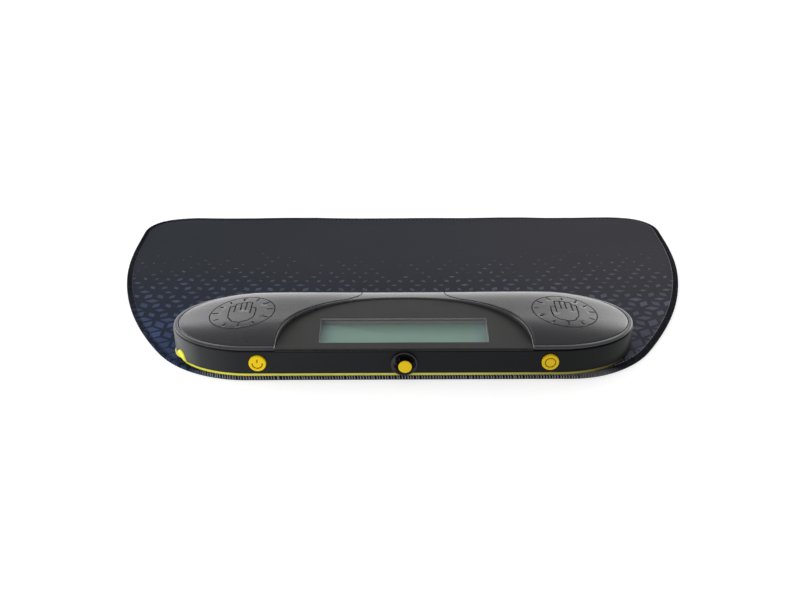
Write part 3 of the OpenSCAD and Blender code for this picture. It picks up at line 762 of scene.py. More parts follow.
def shaded_plastic(name, stops, rough, grain=1500.0, depth=0.00002, **consts):
    """Moulded plastic whose tone drifts along x as painted light and shade: stops are (x in metres, colour)."""
    m, nt, bsdf, co = start(name, **consts)
    x = add(nt, "ShaderNodeSeparateXYZ", {0: co}).outputs[0]
    tone = rgb(stops[0][1])
    for (xa, _), (xb, c) in zip(stops[:-1], stops[1:]):
        tone = mix(nt, remap(nt, x, xa, xb, 0.0, 1.0), tone, rgb(c))
    slow = noise(nt, co, 28.0, 3.0, 0.6)
    fine = noise(nt, co, grain, 2.0, 0.6)
    marks = noise(nt, vec(nt, "MULTIPLY", co, (60.0, 260.0, 160.0)), 1.0, 4.0, 0.7)
    tone = mix(nt, slow, shade_socket(nt, tone, 0.92), shade_socket(nt, tone, 1.08))
    tone = mix(nt, remap(nt, fine, 0.42, 0.72, 0.0, 0.35), tone, shade_socket(nt, tone, 1.3))
    nt.links.new(tone, bsdf.inputs["Base Color"])
    r = math_node(nt, "ADD", remap(nt, slow, 0.3, 0.7, rough - 0.05, rough + 0.05), remap(nt, marks, 0.55, 0.75, 0.0, 0.05))
    nt.links.new(r, bsdf.inputs["Roughness"])
    bump(nt, bsdf, fine, 0.35, depth)
    return m


def lcd_material(name):
    """Grey-green liquid crystal glass: slow tint changes over its width, faint grain of the reflector behind it."""
    m, nt, bsdf, co = start(name, Coat_Weight=0.1, Coat_Roughness=0.12)
    sep = add(nt, "ShaderNodeSeparateXYZ", {0: co})
    x, y = sep.outputs[0], sep.outputs[1]
    wide = noise(nt, vec(nt, "MULTIPLY", co, (22.0, 8.0, 0.0)), 1.0, 2.0)
    grain = noise(nt, co, 5200.0, 2.0, 0.7)
    tone = mix(nt, remap(nt, wide, 0.35, 0.65, 0, 1), (0.190, 0.340, 0.248, 1), (0.190, 0.318, 0.272, 1))
    edge = remap(nt, math_node(nt, "ABSOLUTE", x), 0.038, 0.054, 0.0, 0.6)
    tone = mix(nt, edge, tone, (0.262, 0.380, 0.385, 1))
    tone = mix(nt, remap(nt, grain, 0.3, 0.75, 0.0, 0.12), tone, (0.2, 0.24, 0.22, 1))
    nt.links.new(tone, bsdf.inputs["Base Color"])
    nt.links.new(remap(nt, grain, 0.3, 0.7, 0.30, 0.40), bsdf.inputs["Roughness"])
    bump(nt, bsdf, grain, 0.08, 0.00001)
    return m


def window_material(name):
    m, nt, bsdf, co = start(name, Alpha=0.05, IOR=1.49)
    haze = noise(nt, co, 300.0, 3.0)
    nt.links.new(mix(nt, haze, (0.40, 0.43, 0.43, 1), (0.46, 0.49, 0.48, 1)), bsdf.inputs["Base Color"])
    nt.links.new(remap(nt, haze, 0.3, 0.7, 0.05, 0.12), bsdf.inputs["Roughness"])
    bump(nt, bsdf, haze, 0.03, 0.00001)
    return m


def board_material(name):
    m, nt, bsdf, co = start(name)
    t = add(nt, "ShaderNodeTexBrick", {"Vector": vec(nt, "MULTIPLY", co, (420.0, 420.0, 0.0)), "Color1": (0.008, 0.075, 0.028, 1), "Color2": (0.010, 0.095, 0.035, 1), "Mortar": (0.02, 0.15, 0.06, 1), "Scale": 1.0, "Mortar Size": 0.03}).outputs["Color"]
    n = noise(nt, co, 260.0, 3.0)
    nt.links.new(mix(nt, remap(nt, n, 0.62, 0.66, 0.0, 0.5), t, (0.35, 0.33, 0.25, 1)), bsdf.inputs["Base Color"])
    nt.links.new(remap(nt, n, 0.3, 0.7, 0.3, 0.45), bsdf.inputs["Roughness"])
    bump(nt, bsdf, n, 0.15, 0.00004)
    return m


def ribbon_material(name):
    m, nt, bsdf, co = start(name)
    y = add(nt, "ShaderNodeSeparateXYZ", {0: co}).outputs[1]
    rib = math_node(nt, "SINE", math_node(nt, "MULTIPLY", y, 2 * math.pi * 1000))
    nt.links.new(mix(nt, remap(nt, rib, -1, 1, 0, 1), (0.36, 0.36, 0.33, 1), (0.62, 0.62, 0.58, 1)), bsdf.inputs["Base Color"])
    nt.links.new(remap(nt, rib, -1, 1, 0.5, 0.38), bsdf.inputs["Roughness"])
    bump(nt, bsdf, rib, 0.5, 0.0001)
    return m


# ------------------------------------------------------------------ materials
M = {
    "cloth": cloth_material("mat_cloth_print"),
    "rubber": rubber_material("mat_back_rubber", (0.030, 0.030, 0.032), 0.78, 520.0, 0.00025),
    "foot": rubber_material("foot_rubber", (0.016, 0.016, 0.017), 0.7, 1500.0, 0.00005),
    "thread": thread_material("overlock_thread", (0.004, 0.004, 0.007), (0.016, 0.016, 0.024), (0.36, 0.36, 0.36)),
    "needle": needle_material("needle_thread"),
    "binding": binding_material("edge_under_thread"),
    "cover": plastic("cover_plastic", (0.032, 0.032, 0.0345), 0.28, spread=0.03, Specular_IOR_Level=0.5),
    "pad": plastic("pad_plastic", (0.028, 0.028, 0.0302), 0.27, spread=0.03, Specular_IOR_Level=0.5),
    # mark: darker plastic for the bottom of the pad marks, painted shade in the engraved lines
    "mark": plastic("pad_mark_plastic", (0.008, 0.008, 0.009), 0.6, Specular_IOR_Level=0.3),
    # wall: pale at the left end and darker towards the right, painted light and shade of the lamp on the left
    "wall": shaded_plastic("wall_plastic", [(-0.151, (0.165, 0.168, 0.168)), (-0.142, (0.105, 0.107, 0.107)), (-0.128, (0.028, 0.029, 0.031)), (-0.105, (0.013, 0.0138, 0.015)), (0.0, (0.0068, 0.0076, 0.0086)), (0.10, (0.0036, 0.0042, 0.0048))], 0.42, Specular_IOR_Level=0.14),
    "base": plastic("base_plastic", (0.020, 0.020, 0.022), 0.5, 900.0, 0.00005, 0.5),
    "panel": plastic("panel_plastic", (0.0145, 0.0132, 0.0120), 0.50, 1800.0, 0.00002, 0.3, Specular_IOR_Level=0.3),
    # ring: bright at the left end and darker towards the right, painted light and shade of the lamp on the left
    "ring": shaded_plastic("ring_plastic", [(-0.14, (0.80, 0.78, 0.055)), (-0.08, (0.60, 0.56, 0.085)), (0.04, (0.54, 0.50, 0.095)), (0.09, (0.31, 0.28, 0.05)), (0.125, (0.22, 0.20, 0.03))], 0.42, Specular_IOR_Level=0.3),
    # buttons: the left one paler than the right one, painted light from the left
    "button": shaded_plastic("button_plastic", [(-0.092, (0.80, 0.56, 0.004)), (0.0, (0.72, 0.50, 0.0035)), (0.091, (0.66, 0.45, 0.004))], 0.36, Specular_IOR_Level=0.15),
    # groove: darker plastic for the bottom of the buttons' signs, painted shade in the engraved lines
    "groove": plastic("icon_recess_plastic", (0.17, 0.085, 0.003), 0.6, var=0.1, Specular_IOR_Level=0.2),
    "bezel": plastic("bezel_gloss", (0.006, 0.006, 0.007), 0.10, 2500.0, 0.000004, 0.1, spread=0.02, Specular_IOR_Level=0.4),
    "natural": plastic("natural_plastic", (0.66, 0.66, 0.63), 0.45),
    "chip": plastic("chip_resin", (0.018, 0.018, 0.019), 0.5, 2500.0),
    "zebra": rubber_material("contact_rubber", (0.28, 0.13, 0.15), 0.6, 2500.0, 0.00003),
    "metal": metal("plated_steel", (0.62, 0.62, 0.63), 0.28),
    "cell": plastic("cell_sleeve", (0.05, 0.19, 0.07), 0.3, 1200.0),
    "board": board_material("circuit_board"),
    "ribbon": ribbon_material("ribbon_insulation"),
    "lcd": lcd_material("lcd_reflective"),
    "glass_edge": plastic("lcd_glass_edge", (0.12, 0.15, 0.14), 0.15, 2500.0, 0.000005, 0.1, Coat_Weight=0.3, Coat_Roughness=0.1),
    "window": window_material("window_clear"),
    "frame": plastic("window_surround", (0.21, 0.21, 0.212), 0.5, var=0.06, Specular_IOR_Level=0.3),
}


def dress(node, key):
    """Gives a CAD node one of the materials in all its slots."""
    o = nodes[node]
    if not o.data.materials:
        o.data.materials.append(M[key])
    for i in range(len(o.data.materials)):
        o.data.materials[i] = M[key]


def put(obj, body, slot, *replaced):
    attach(obj, body)
    if replaced:
        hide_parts(*replaced)
    return obj


for node, key in {
    "mat_snap_studs": "metal", "mat_snap_washers": "metal", "bottom_plate": "base", "rubber_feet": "foot",
    "display_window": "window", "lcd_frame": "frame", "zebra_strip": "zebra", "main_board": "board",
    "controller_chip": "chip", "quartz_crystal": "metal", "piezo_sounder": "chip", "board_screws": "metal",
    "switch_boards": "board", "power_switch": "chip", "reset_switch": "chip", "mode_switch": "chip",
    "left_pad_board": "board", "right_pad_board": "board", "left_pad_switch": "chip", "right_pad_switch": "chip",
    "pad_board_screws": "metal", "ribbon_cables": "ribbon", "battery_box": "base", "batteries": "cell",
    "battery_springs": "metal", "battery_contacts": "metal", "battery_door": "base", "battery_door_screw": "metal",
    "case_screws": "metal", "left_pad_guides": "natural", "right_pad_guides": "natural",
    "left_pad_springs": "metal", "right_pad_springs": "metal", "power_plunger": "natural",
    "reset_plunger": "natural", "mode_plunger": "natural",
}.items():
    dress(node, key)

# ------------------------------------------------------------------ mat
snap_holes = [(s * 107.0, HD) for s in (-1, 1)]


def circle(c, r, n=48):
    return np.array([(c[0] + r * math.cos(2 * math.pi * i / n), c[1] + r * math.sin(2 * math.pi * i / n)) for i in range(n)])


def mat_plate(name, inset, z0, z1, hole_r, material, spacing):
    outer = mat_loop(inset)
    holes = [circle(c, hole_r) for c in snap_holes]

    def keep(p):
        ok = in_poly(outer, p)
        for h in holes:
            ok &= ~in_poly(h, p)
        return ok

    pts, edges = loops_to_edges([(outer, True)] + [(h, True) for h in holes])
    lo, hi = outer.min(0), outer.max(0)
    gx, gy = np.meshgrid(np.arange(lo[0], hi[0], spacing), np.arange(lo[1], hi[1], spacing))
    grid = np.column_stack([gx.ravel(), gy.ravel()])
    grid = grid[keep(grid)]
    grid = grid[dist_to(outer, grid) > 0.4 * spacing]
    for h in holes:
        grid = grid[dist_to(h, grid) > 0.4 * spacing]
    v, t = cdt(pts + list(map(tuple, grid)), edges)
    t = t[keep(v[t].mean(1))]
    verts, faces = shell(v, t, np.full(len(v), z1), z0, keep)
    return make(name, mat_wave(verts), faces, material, 50)


cloth = mat_plate("mat_printed_cloth", 0.75, 1.6, MAT_T, 7.05, M["cloth"], 7.0)
put(cloth, "mat", "mat_cloth", "mat_cloth")
rubber = mat_plate("mat_rubber_back", 0.75, 0.0, 1.6, 6.05, M["rubber"], 7.0)
put(rubber, "mat", "mat_rubber", "mat_rubber_base")

# overlocked edge: a dark under-layer wrapped round the rim, slanted threads over it, and the needle line inside it
wrap = round_corners([(4.1, 2.42), (0.30, 2.38), (0.30, 0.12), (3.0, 0.06), (3.0, 0.0), (0.45, 0.0), (0.76, 0.1), (0.76, 2.31), (4.1, 2.31)],
                     [0.05, 0.9, 0.9, 0.0, 0.0, 0.0, 0.0, 0.0, 0.0])
under = sweep("mat_edge_wrap", lambda d: mat_loop(d), wrap, M["binding"], 50, mat_wave)
rim = resample(mat_loop(0.0), 0.5, True)
rim_t = np.roll(rim, -1, 0) - np.roll(rim, 1, 0)
rim_t /= np.linalg.norm(rim_t, axis=1)[:, None]
rim_n = np.column_stack([-rim_t[:, 1], rim_t[:, 0]])
rim_len = np.linalg.norm(np.roll(rim, -1, 0) - rim, axis=1).sum()
PITCH = 1.75
count = int(rim_len / PITCH)


def rim_at(s, inset, z):
    """Point at a length s round the mat's rim, inset from it."""
    u = (s / rim_len * len(rim)) % len(rim)
    i = int(u)
    f = u - i
    j = (i + 1) % len(rim)
    p = rim[i] * (1 - f) + rim[j] * f
    n = rim_n[i] * (1 - f) + rim_n[j] * f
    n /= np.linalg.norm(n)
    return (p[0] + n[0] * inset, p[1] + n[1] * inset, z)


stitches, needle = [], []
for i in range(count):
    s = i * rim_len / count
    j = rng.normal(0, 0.17, 4)
    lean = 1.5 + j[0]
    stitches.append([rim_at(s, 3.9 + j[1] * 0.7, 2.38), rim_at(s + lean * 0.25, 3.1, 2.43), rim_at(s + lean * 0.60, 1.9, 2.44 + 0.05 * j[2]),
                     rim_at(s + lean * 0.86, 1.0, 2.40), rim_at(s + lean, 0.46, 2.08), rim_at(s + lean * 1.02, 0.32, 1.3),
                     rim_at(s + lean, 0.48, 0.58), rim_at(s + lean * 0.8, 1.2, 0.32), rim_at(s + lean * 0.4, 2.7, 0.34)])
    if i % 2 == 0:
        a = s + 0.3
        needle.append([rim_at(a, 4.25, 2.28), rim_at(a + 0.25, 4.28, 2.42), rim_at(a + 1.2, 4.3, 2.46), rim_at(a + 2.1, 4.28, 2.42), rim_at(a + 2.35, 4.25, 2.28)])
threads = tubes("mat_overlock_threads", stitches, 0.30, M["thread"], 6, mat_wave)
loopers = tubes("mat_needle_threads", needle, 0.15, M["needle"], 5, mat_wave)
put(threads, "mat", "mat_thread", "mat_edge_stitching")
put(under, "mat", "mat_thread")
put(loopers, "mat", "mat_thread")

# ------------------------------------------------------------------ yellow ring and its finger tab
ring_profile = round_corners([(0.3, ZR), (0.3, ZW), (2.7, ZW), (2.7, ZR)], [0.35, 0.35, 0, 0])


def ring_ends(v):
    """At the right end and behind the finger tab the ring sits a little further in, under the wall."""
    v = np.array(v, float)
    k = 0.9 * smooth((v[:, 0] - 112) / 28) + 1.0 * smooth((-138.5 - v[:, 0]) / 3)
    c = np.where(v[:, 0] > 0, CX, -CX)
    v[:, 0] = c + (v[:, 0] - c) * (1 - k / END_A)
    v[:, 1] = HD + (v[:, 1] - HD) * (1 - k / HD)
    return v


base_ring = sweep("yellow_base_ring", lambda d: case_loop(d), ring_profile, M["ring"], 50, ring_ends)
put(base_ring, "timer", "ring_plastic", "base_ring")


def wall_point(t, d, z):
    """Point on the left end of the housing at ellipse angle t, inset by d."""
    a, b = END_A - d, HD - d
    return (-CX - a * math.cos(math.radians(t)), HD + b * math.sin(math.radians(t)), z)


# a leaf on the wall's left end: its outline in (ellipse angle, height), rounded over towards its outer face
DEG = 0.72           # millimetres along the wall for each degree of ellipse angle there
leaf = spline([(-38.6, 4.0), (-35.4, 4.5), (-32.0, 5.3), (-28.5, 5.7), (-25.2, 6.0), (-23.7, 7.1), (-24.6, 8.9), (-27.0, 10.3), (-29.5, 11.2),
               (-32.0, 11.1), (-34.2, 10.1), (-35.6, 8.0), (-36.6, 6.0), (-38.4, 4.8)], True, 6) * np.array([DEG, 1.0])
if np.sum(leaf[:, 0] * np.roll(leaf[:, 1], -1) - np.roll(leaf[:, 0], -1) * leaf[:, 1]) < 0:
    leaf = leaf[::-1]
rings = [(leaf, 0.3), (leaf, -0.35), (offset_line(leaf, 0.12, True), -0.6), (offset_line(leaf, 0.35, True), -0.78), (offset_line(leaf, 0.8, True), -0.85)]
tab_v, tab_f = [], []
n = len(leaf)
for loop_, d in rings:
    tab_v += [wall_point(q[0] / DEG, d, q[1]) for q in loop_]
for j in range(len(rings) - 1):
    tab_f += [(j * n + i, j * n + (i + 1) % n, (j + 1) * n + (i + 1) % n, (j + 1) * n + i) for i in range(n)]
tab_f += [tuple(range(n))[::-1], tuple((len(rings) - 1) * n + i for i in range(n))]
tab = make("yellow_finger_tab", tab_v, tab_f, M["ring"], 50)
lip_v, lip_f = [], []
L0, L1, N = -26.5, -9.0, 30
for i in range(N + 1):
    t = L0 + (L1 - L0) * i / N
    w = 0.75 * math.sin(math.pi * min(1.0, max(0.0, i / N))) ** 0.5 + 0.04
    prof = round_corners([(1.3, ZW - 0.6), (-w, ZW - 0.45), (-w, ZW + 0.45), (-0.02, ZW + 0.5), (-0.02, ZW), (1.3, ZW)], [0, 0.25, 0.25, 0, 0, 0], 3)
    lip_v += [wall_point(t, d, z) for d, z in prof]
m = len(prof)
for i in range(N):
    for j in range(m):
        a, b = i * m, (i + 1) * m
        lip_f.append((a + j, a + (j + 1) % m, b + (j + 1) % m, b + j))
lip_f.append(tuple(range(m)))
lip_f.append(tuple(N * m + j for j in range(m))[::-1])
lip = make("yellow_tab_lip", lip_v, lip_f, M["ring"], 50)
tab = join([tab, lip], "yellow_finger_tab")
put(tab, "timer", "ring_plastic", "lift_tab")

# ------------------------------------------------------------------ side wall
BX, BZ, MZ = 91.2, 12.8, 12.1   # places of the buttons
wall_profile = round_corners([(0.0, ZW + 0.02), (0.0, WALL_TOP), (2.2, WALL_TOP), (2.2, ZW + 1.5), (5.2, ZW + 1.5), (5.2, ZW + 0.02)],
                             [0.25, 0.85, 0.2, 0, 0, 0])
wall = sweep("side_wall_shell", lambda d: case_loop(d), wall_profile, M["wall"], 30)
cut(wall, [cylinder_y(-BX, BZ, 5.53, -3, 5), cylinder_y(BX, BZ, 5.53, -3, 5), cylinder_y(0, MZ, 5.7, -3, 5)])
put(wall, "timer", "wall_plastic", "side_wall")

# ------------------------------------------------------------------ top cover
outer = case_loop(0.55)
pads_open = [pad_loop(-0.35, s) for s in (1, -1)]
pocket = panel_loop(-0.15, -6.0)


def keep_cover(p):
    return in_poly(outer, p) & ~in_poly(pads_open[0], p) & ~in_poly(pads_open[1], p) & ~in_poly(pocket, p)


def cover_top(x, y):
    d_out = np.minimum(y, 73 - y)
    h = np.maximum(half_depth(x), 0.5)
    v = (y - HD) / h
    up = np.where((np.abs(v) < 1) & (np.abs(x) < 84), 5.4 * crown(v), 0)
    return ZL + 0.2 * np.clip(d_out / LEDGE_W, 0, 1) + up


cover = relief("top_cover_shell",
               [(lambda d: case_loop(0.55 + d), 0.8), (lambda d: pad_loop(-0.35 - d, 1), 0.28), (lambda d: pad_loop(-0.35 - d, -1), 0.28),
                (lambda d: panel_loop(-0.15 - d, -6.0), 1.0)],
               keep_cover, cover_top, 21.65, M["cover"], spacing=2.2, angle=32)
neck = sweep("cover_neck", lambda d: case_loop(d), [(1.3, WALL_TOP + 0.03), (1.3, 21.66), (3.2, 21.66), (3.2, WALL_TOP + 0.03)], M["cover"], 30)
floor_in = case_loop(0.55)
pocket_in = panel_loop(-0.15, 0.45)


def keep_floor(p):
    return in_poly(pocket_in, p) & in_poly(floor_in, p) & ~in_poly(window_hole, p)


window_hole = np.array([(-55.4, 5.2), (55.4, 5.2), (55.4, 35.2), (-55.4, 35.2)])
loops = [(panel_loop(-0.15, 0.45), True), (window_hole, True)]
pts, edges = loops_to_edges(loops)
v, t = cdt(pts, edges)
t = t[keep_floor(v[t].mean(1))]
used = np.unique(t)
index = np.full(len(v), -1)
index[used] = np.arange(len(used))
v, t = v[used], index[t]
fv, ff = shell(v, t, panel_plane(v[:, 1]) - 1.3, 20.65, keep_floor)
floor_part = make("cover_floor", fv, ff, M["cover"], 30)
cover = join([cover, neck, floor_part], "top_cover_shell")
put(cover, "timer", "cover_plastic", "top_cover")

# ------------------------------------------------------------------ display panel, window and glass
win = np.array(round_corners([(-53.2, 7.4), (53.2, 7.4), (53.2, 33.1), (-53.2, 33.1)], [0.7] * 4, 5))


def win_loop(d):
    k = np.array(round_corners([(-53.2 - d, 7.4 - d), (53.2 + d, 7.4 - d), (53.2 + d, 33.1 + d), (-53.2 - d, 33.1 + d)], [0.7 + d] * 4, 5))
    return np.array(sum([[tuple(k[i])] + line(k[i], k[(i + 1) % len(k)], 3.0) for i in range(len(k))], []))


panel_out = panel_loop(0.0, 0.6)


def keep_panel(p):
    return in_poly(panel_out, p) & ~in_poly(win, p)


panel = relief("display_panel_plate", [(lambda d: panel_loop(d, 0.6 + d), 0.22), (win_loop, 0.35)],
               keep_panel, lambda x, y: np.zeros_like(x), lambda x, y: np.where(y < 3.0, -0.75, -1.15), M["panel"], spacing=4.0, to_timer=from_panel, angle=32)
# the edges of the window opening are paler than the plate
panel.data.materials.append(M["frame"])
for poly in panel.data.polygons:
    c, up = poly.center, poly.normal.z
    if up < 0.80 and abs(c.x) < 0.0559 and 4.3 < c.y * 1000 + OY < 36.0:
        poly.material_index = 1
put(panel, "timer", "panel_plastic", "display_panel")


def panel_box(name, x0, x1, y0, y1, z0, z1, r, bevel, material):
    """A plate in panel coordinates with rounded corners and a bevelled top edge."""
    def ring(d, z):
        k = np.array(round_corners([(x0 + d, y0 + d), (x1 - d, y0 + d), (x1 - d, y1 - d), (x0 + d, y1 - d)], [max(r - d, 0.02)] * 4, 4))
        return [(p[0], p[1], z) for p in k]
    rings = [ring(0, z0), ring(0, z1 - bevel), ring(bevel * 0.3, z1 - bevel * 0.3), ring(bevel, z1)]
    n = len(rings[0])
    verts = [p for r_ in rings for p in r_]
    faces = []
    for j in range(3):
        faces += [(j * n + i, j * n + (i + 1) % n, (j + 1) * n + (i + 1) % n, (j + 1) * n + i) for i in range(n)]
    faces += [tuple(range(n))[::-1], tuple(3 * n + i for i in range(n))]
    return make(name, from_panel(verts), faces, material, 30)


glass = panel_box("lcd_glass_pair", -55, 55, 5.2, 35, -7.4, -5.05, 0.3, 0.15, M["glass_edge"])
film = panel_box("lcd_front_film", -54.2, 54.2, 5.9, 34.3, -5.06, -4.9, 0.5, 0.05, M["lcd"])
lcd = join([glass, film], "lcd_glass_with_film")
put(lcd, "timer", "lcd_glass", "lcd_glass")

# ------------------------------------------------------------------ hand pads
HAND_C = (-107.0, 38.0)
hand_line = [(-7.25, 0.4), (-7.15, 8.75), (-3.75, 8.75), (-3.72, 7.6), (-3.62, 11.65), (0.06, 11.65), (0.1, 10.4), (0.2, 13.05), (3.25, 13.05),
             (3.32, 12.2), (3.5, 12.85), (6.95, 12.85), (7.0, 4.4), (7.1, 5.75), (10.2, 5.75), (10.45, -0.7), (9.9, -6.6), (6.9, -10.2), (1.2, -12.25),
             (-3.2, -11.2), (-6.8, -5.2)]
hand_round = [0.8, 1.25, 1.25, 0, 1.25, 1.25, 0, 1.25, 1.25, 0, 1.3, 1.3, 0.1, 1.2, 1.2, 1.2, 1.2, 1.6, 1.8, 1.8, 1.4]
valleys = [((-3.74, 7.0), (-3.8, 2.2)), ((0.09, 10.0), (0.1, 4.1)), ((3.35, 11.6), (3.4, 3.6)), ((7.02, 4.2), (7.0, -0.9))]
tick_at = [175.6, 207, 241, 275, 309, 340, 9.5, 33, 57, 86, 119, 147]


def pad_marks(side):
    """Ring, twelve ticks and an open hand, drawn on the left pad and mirrored for the right one.
    Each mark is (points, closed, half width)."""
    cx, cy = -105.2, 38.3

    def spot(u, v):
        return (cx + u, cy + v + 0.06 * u)

    out = []
    ring = [spot(21.1 * math.cos(2 * math.pi * i / 150), 19.4 * math.sin(2 * math.pi * i / 150)) for i in range(150)]
    out.append((np.array(ring), True, 0.36))
    for a in tick_at:
        # each tick lies along a radius of the ring, a little inside it
        a = math.radians(a)
        w = np.array([math.cos(a), math.sin(a)])
        p = np.array([-107.0, 38.0])
        # where the ray from the hand's middle meets the ring
        for r in np.arange(10.0, 26.0, 0.05):
            q = p + w * r
            u = q[0] - cx
            v = q[1] - cy - 0.06 * u
            if (u / 21.1) ** 2 + (v / 19.4) ** 2 >= 1:
                break
        out.append((np.array([p + w * (r - k) for k in (4.0, 3.5, 3.0, 2.5)]), False, 0.55))
    curve = round_corners(hand_line, hand_round, 6)
    out.append((resample(np.array([(HAND_C[0] + u, HAND_C[1] + v) for u, v in curve]), 0.4, True), True, 0.42))
    for a, b in valleys:
        q = [a] + line(a, b, 0.6) + [b]
        out.append((np.array([(HAND_C[0] + u, HAND_C[1] + v) for u, v in q]), False, 0.46))
    if side > 0:
        out = [(p * np.array([-1.0, 1.0]), c, w) for p, c, w in out]
    return out


def make_pad(side):
    name = "left_hand_pad" if side < 0 else "right_hand_pad"
    rim0 = pad_loop(0.0, side)

    def keep(p):
        return in_poly(rim0, p)

    loops = [(pad_loop(0.45 * k, side), True) for k in (0.0, 0.1, 0.3, 0.6, 1.0)] + [(pad_loop(1.0, side), True), (pad_loop(2.2, side), True)]
    marks = pad_marks(side)
    lines = []
    DEEP = 0.55
    for g, closed, w in marks:
        for o in (0.0, 0.6 * w, -0.6 * w, w, -w):
            lines.append((offset_line(g, o, closed) if o else g, closed))
    pts, edges = loops_to_edges(loops + lines)
    have = np.array(pts)
    sp = 1.9
    lo, hi = have.min(0), have.max(0)
    gx, gy = np.meshgrid(np.arange(lo[0], hi[0], sp), np.arange(lo[1], hi[1], sp * 0.866))
    gx = gx + (np.arange(gx.shape[0]) % 2)[:, None] * sp / 2
    grid = np.column_stack([gx.ravel(), gy.ravel()])
    grid = grid[keep(grid)]
    ok = dist_to(rim0, grid) > 2.9
    for g, closed, w in marks:
        ok &= dist_to(g, grid, closed) > w + 0.5
    grid = grid[ok]
    v, t = cdt(pts + list(map(tuple, grid)), edges)
    t = t[keep(v[t].mean(1))]
    used = np.unique(t)
    index = np.full(len(v), -1)
    index[used] = np.arange(len(used))
    v, t = v[used], index[t]
    z = pad_z(v[:, 0], v[:, 1]) - drop(dist_to(rim0, v), 0.45)
    sunk = np.zeros(len(v))
    for g, closed, w in marks:
        sunk = np.maximum(sunk, 1 - smooth((dist_to(g, v, closed) - 0.55 * w) / (0.45 * w)))
    z = z - DEEP * sunk
    # underside in steps, as moulded: skirt, land and hollow
    sgn = 1.0 if side > 0 else -1.0

    def clip_x(loop, xmax):
        """Cuts a pad outline off beyond |x| = xmax."""
        p = loop.copy()
        p[:, 0] = np.where(p[:, 0] * sgn > xmax, sgn * xmax, p[:, 0])
        keep_i = [0]
        for i in range(1, len(p)):
            if np.linalg.norm(p[i] - p[keep_i[-1]]) > 1e-3:
                keep_i.append(i)
        return p[keep_i]

    land = clip_x(pad_loop(3.0, side), 140.0)
    hollow = clip_x(pad_loop(6.0, side), 120.0)
    edge_face = {}
    for a, b, c in t:
        for e_ in ((a, b), (b, c), (c, a)):
            k = (min(e_), max(e_))
            edge_face[k] = None if k in edge_face else e_
    rim_edges = [e_ for e_ in edge_face.values() if e_ is not None]
    ids = sorted({i for e_ in rim_edges for i in e_})
    flat = v[ids]
    local = {q: k for k, q in enumerate(ids)}
    verts = [np.column_stack([v, z]), np.column_stack([flat, np.full(len(flat), 21.0)])]
    faces = [tuple(f) for f in t]
    low = len(v)
    faces += [(e_[1], e_[0], low + local[e_[0]], low + local[e_[1]]) for e_ in rim_edges]

    def layer(loops_, zz, inside):
        nonlocal low_count
        pts_, ed = loops_to_edges(loops_)
        lv, lt = cdt(pts_, ed)
        lt = lt[inside(lv[lt].mean(1))]
        verts.append(np.column_stack([lv, np.full(len(lv), zz)]))
        faces.extend([(low_count + c, low_count + b, low_count + a) for a, b, c in lt])
        low_count += len(lv)

    low_count = low + len(flat)
    # order the rim vertices into one loop so that it can be filled
    nxt = {local[a]: local[b] for a, b in rim_edges}
    seq, k = [0], nxt[0]
    while k != 0:
        seq.append(k)
        k = nxt[k]
    rim_loop = flat[seq]
    layer([(rim_loop, True), (land, True)], 21.0, lambda p: in_poly(rim_loop, p) & ~in_poly(land, p))
    layer([(land, True), (hollow, True)], 22.0, lambda p: in_poly(land, p) & ~in_poly(hollow, p))
    layer([(hollow, True)], 24.0, lambda p: in_poly(hollow, p))
    for loop_, za, zb in ((land, 21.0, 22.0), (hollow, 22.0, 24.0)):
        n = len(loop_)
        verts.append(np.column_stack([loop_, np.full(n, za)]))
        verts.append(np.column_stack([loop_, np.full(n, zb)]))
        faces.extend([(low_count + i, low_count + (i + 1) % n, low_count + n + (i + 1) % n, low_count + n + i) for i in range(n)])
        low_count += 2 * n
    obj = make(name, np.vstack(verts), faces, M["pad"], 36, merge=2e-6)
    # the bottom of the marks gets a darker, rougher material: painted shade in the engraved lines
    obj.data.materials.append(M["mark"])
    tree = kdtree.KDTree(len(v))
    for i, q in enumerate(place_all(np.column_stack([v, z]))):
        tree.insert(q, i)
    tree.balance()
    deep = np.array([sunk[tree.find(q.co)[1]] if q.co.z > 0.0215 else 0.0 for q in obj.data.vertices])
    for poly in obj.data.polygons:
        if len(poly.vertices) == 3 and all(deep[q] > 0.55 for q in poly.vertices):
            poly.material_index = 1
    return obj


left = make_pad(-1)
put(left, "left_pad", "pad_plastic", "left_pad")
right = make_pad(1)
put(right, "right_pad", "pad_plastic", "right_pad")


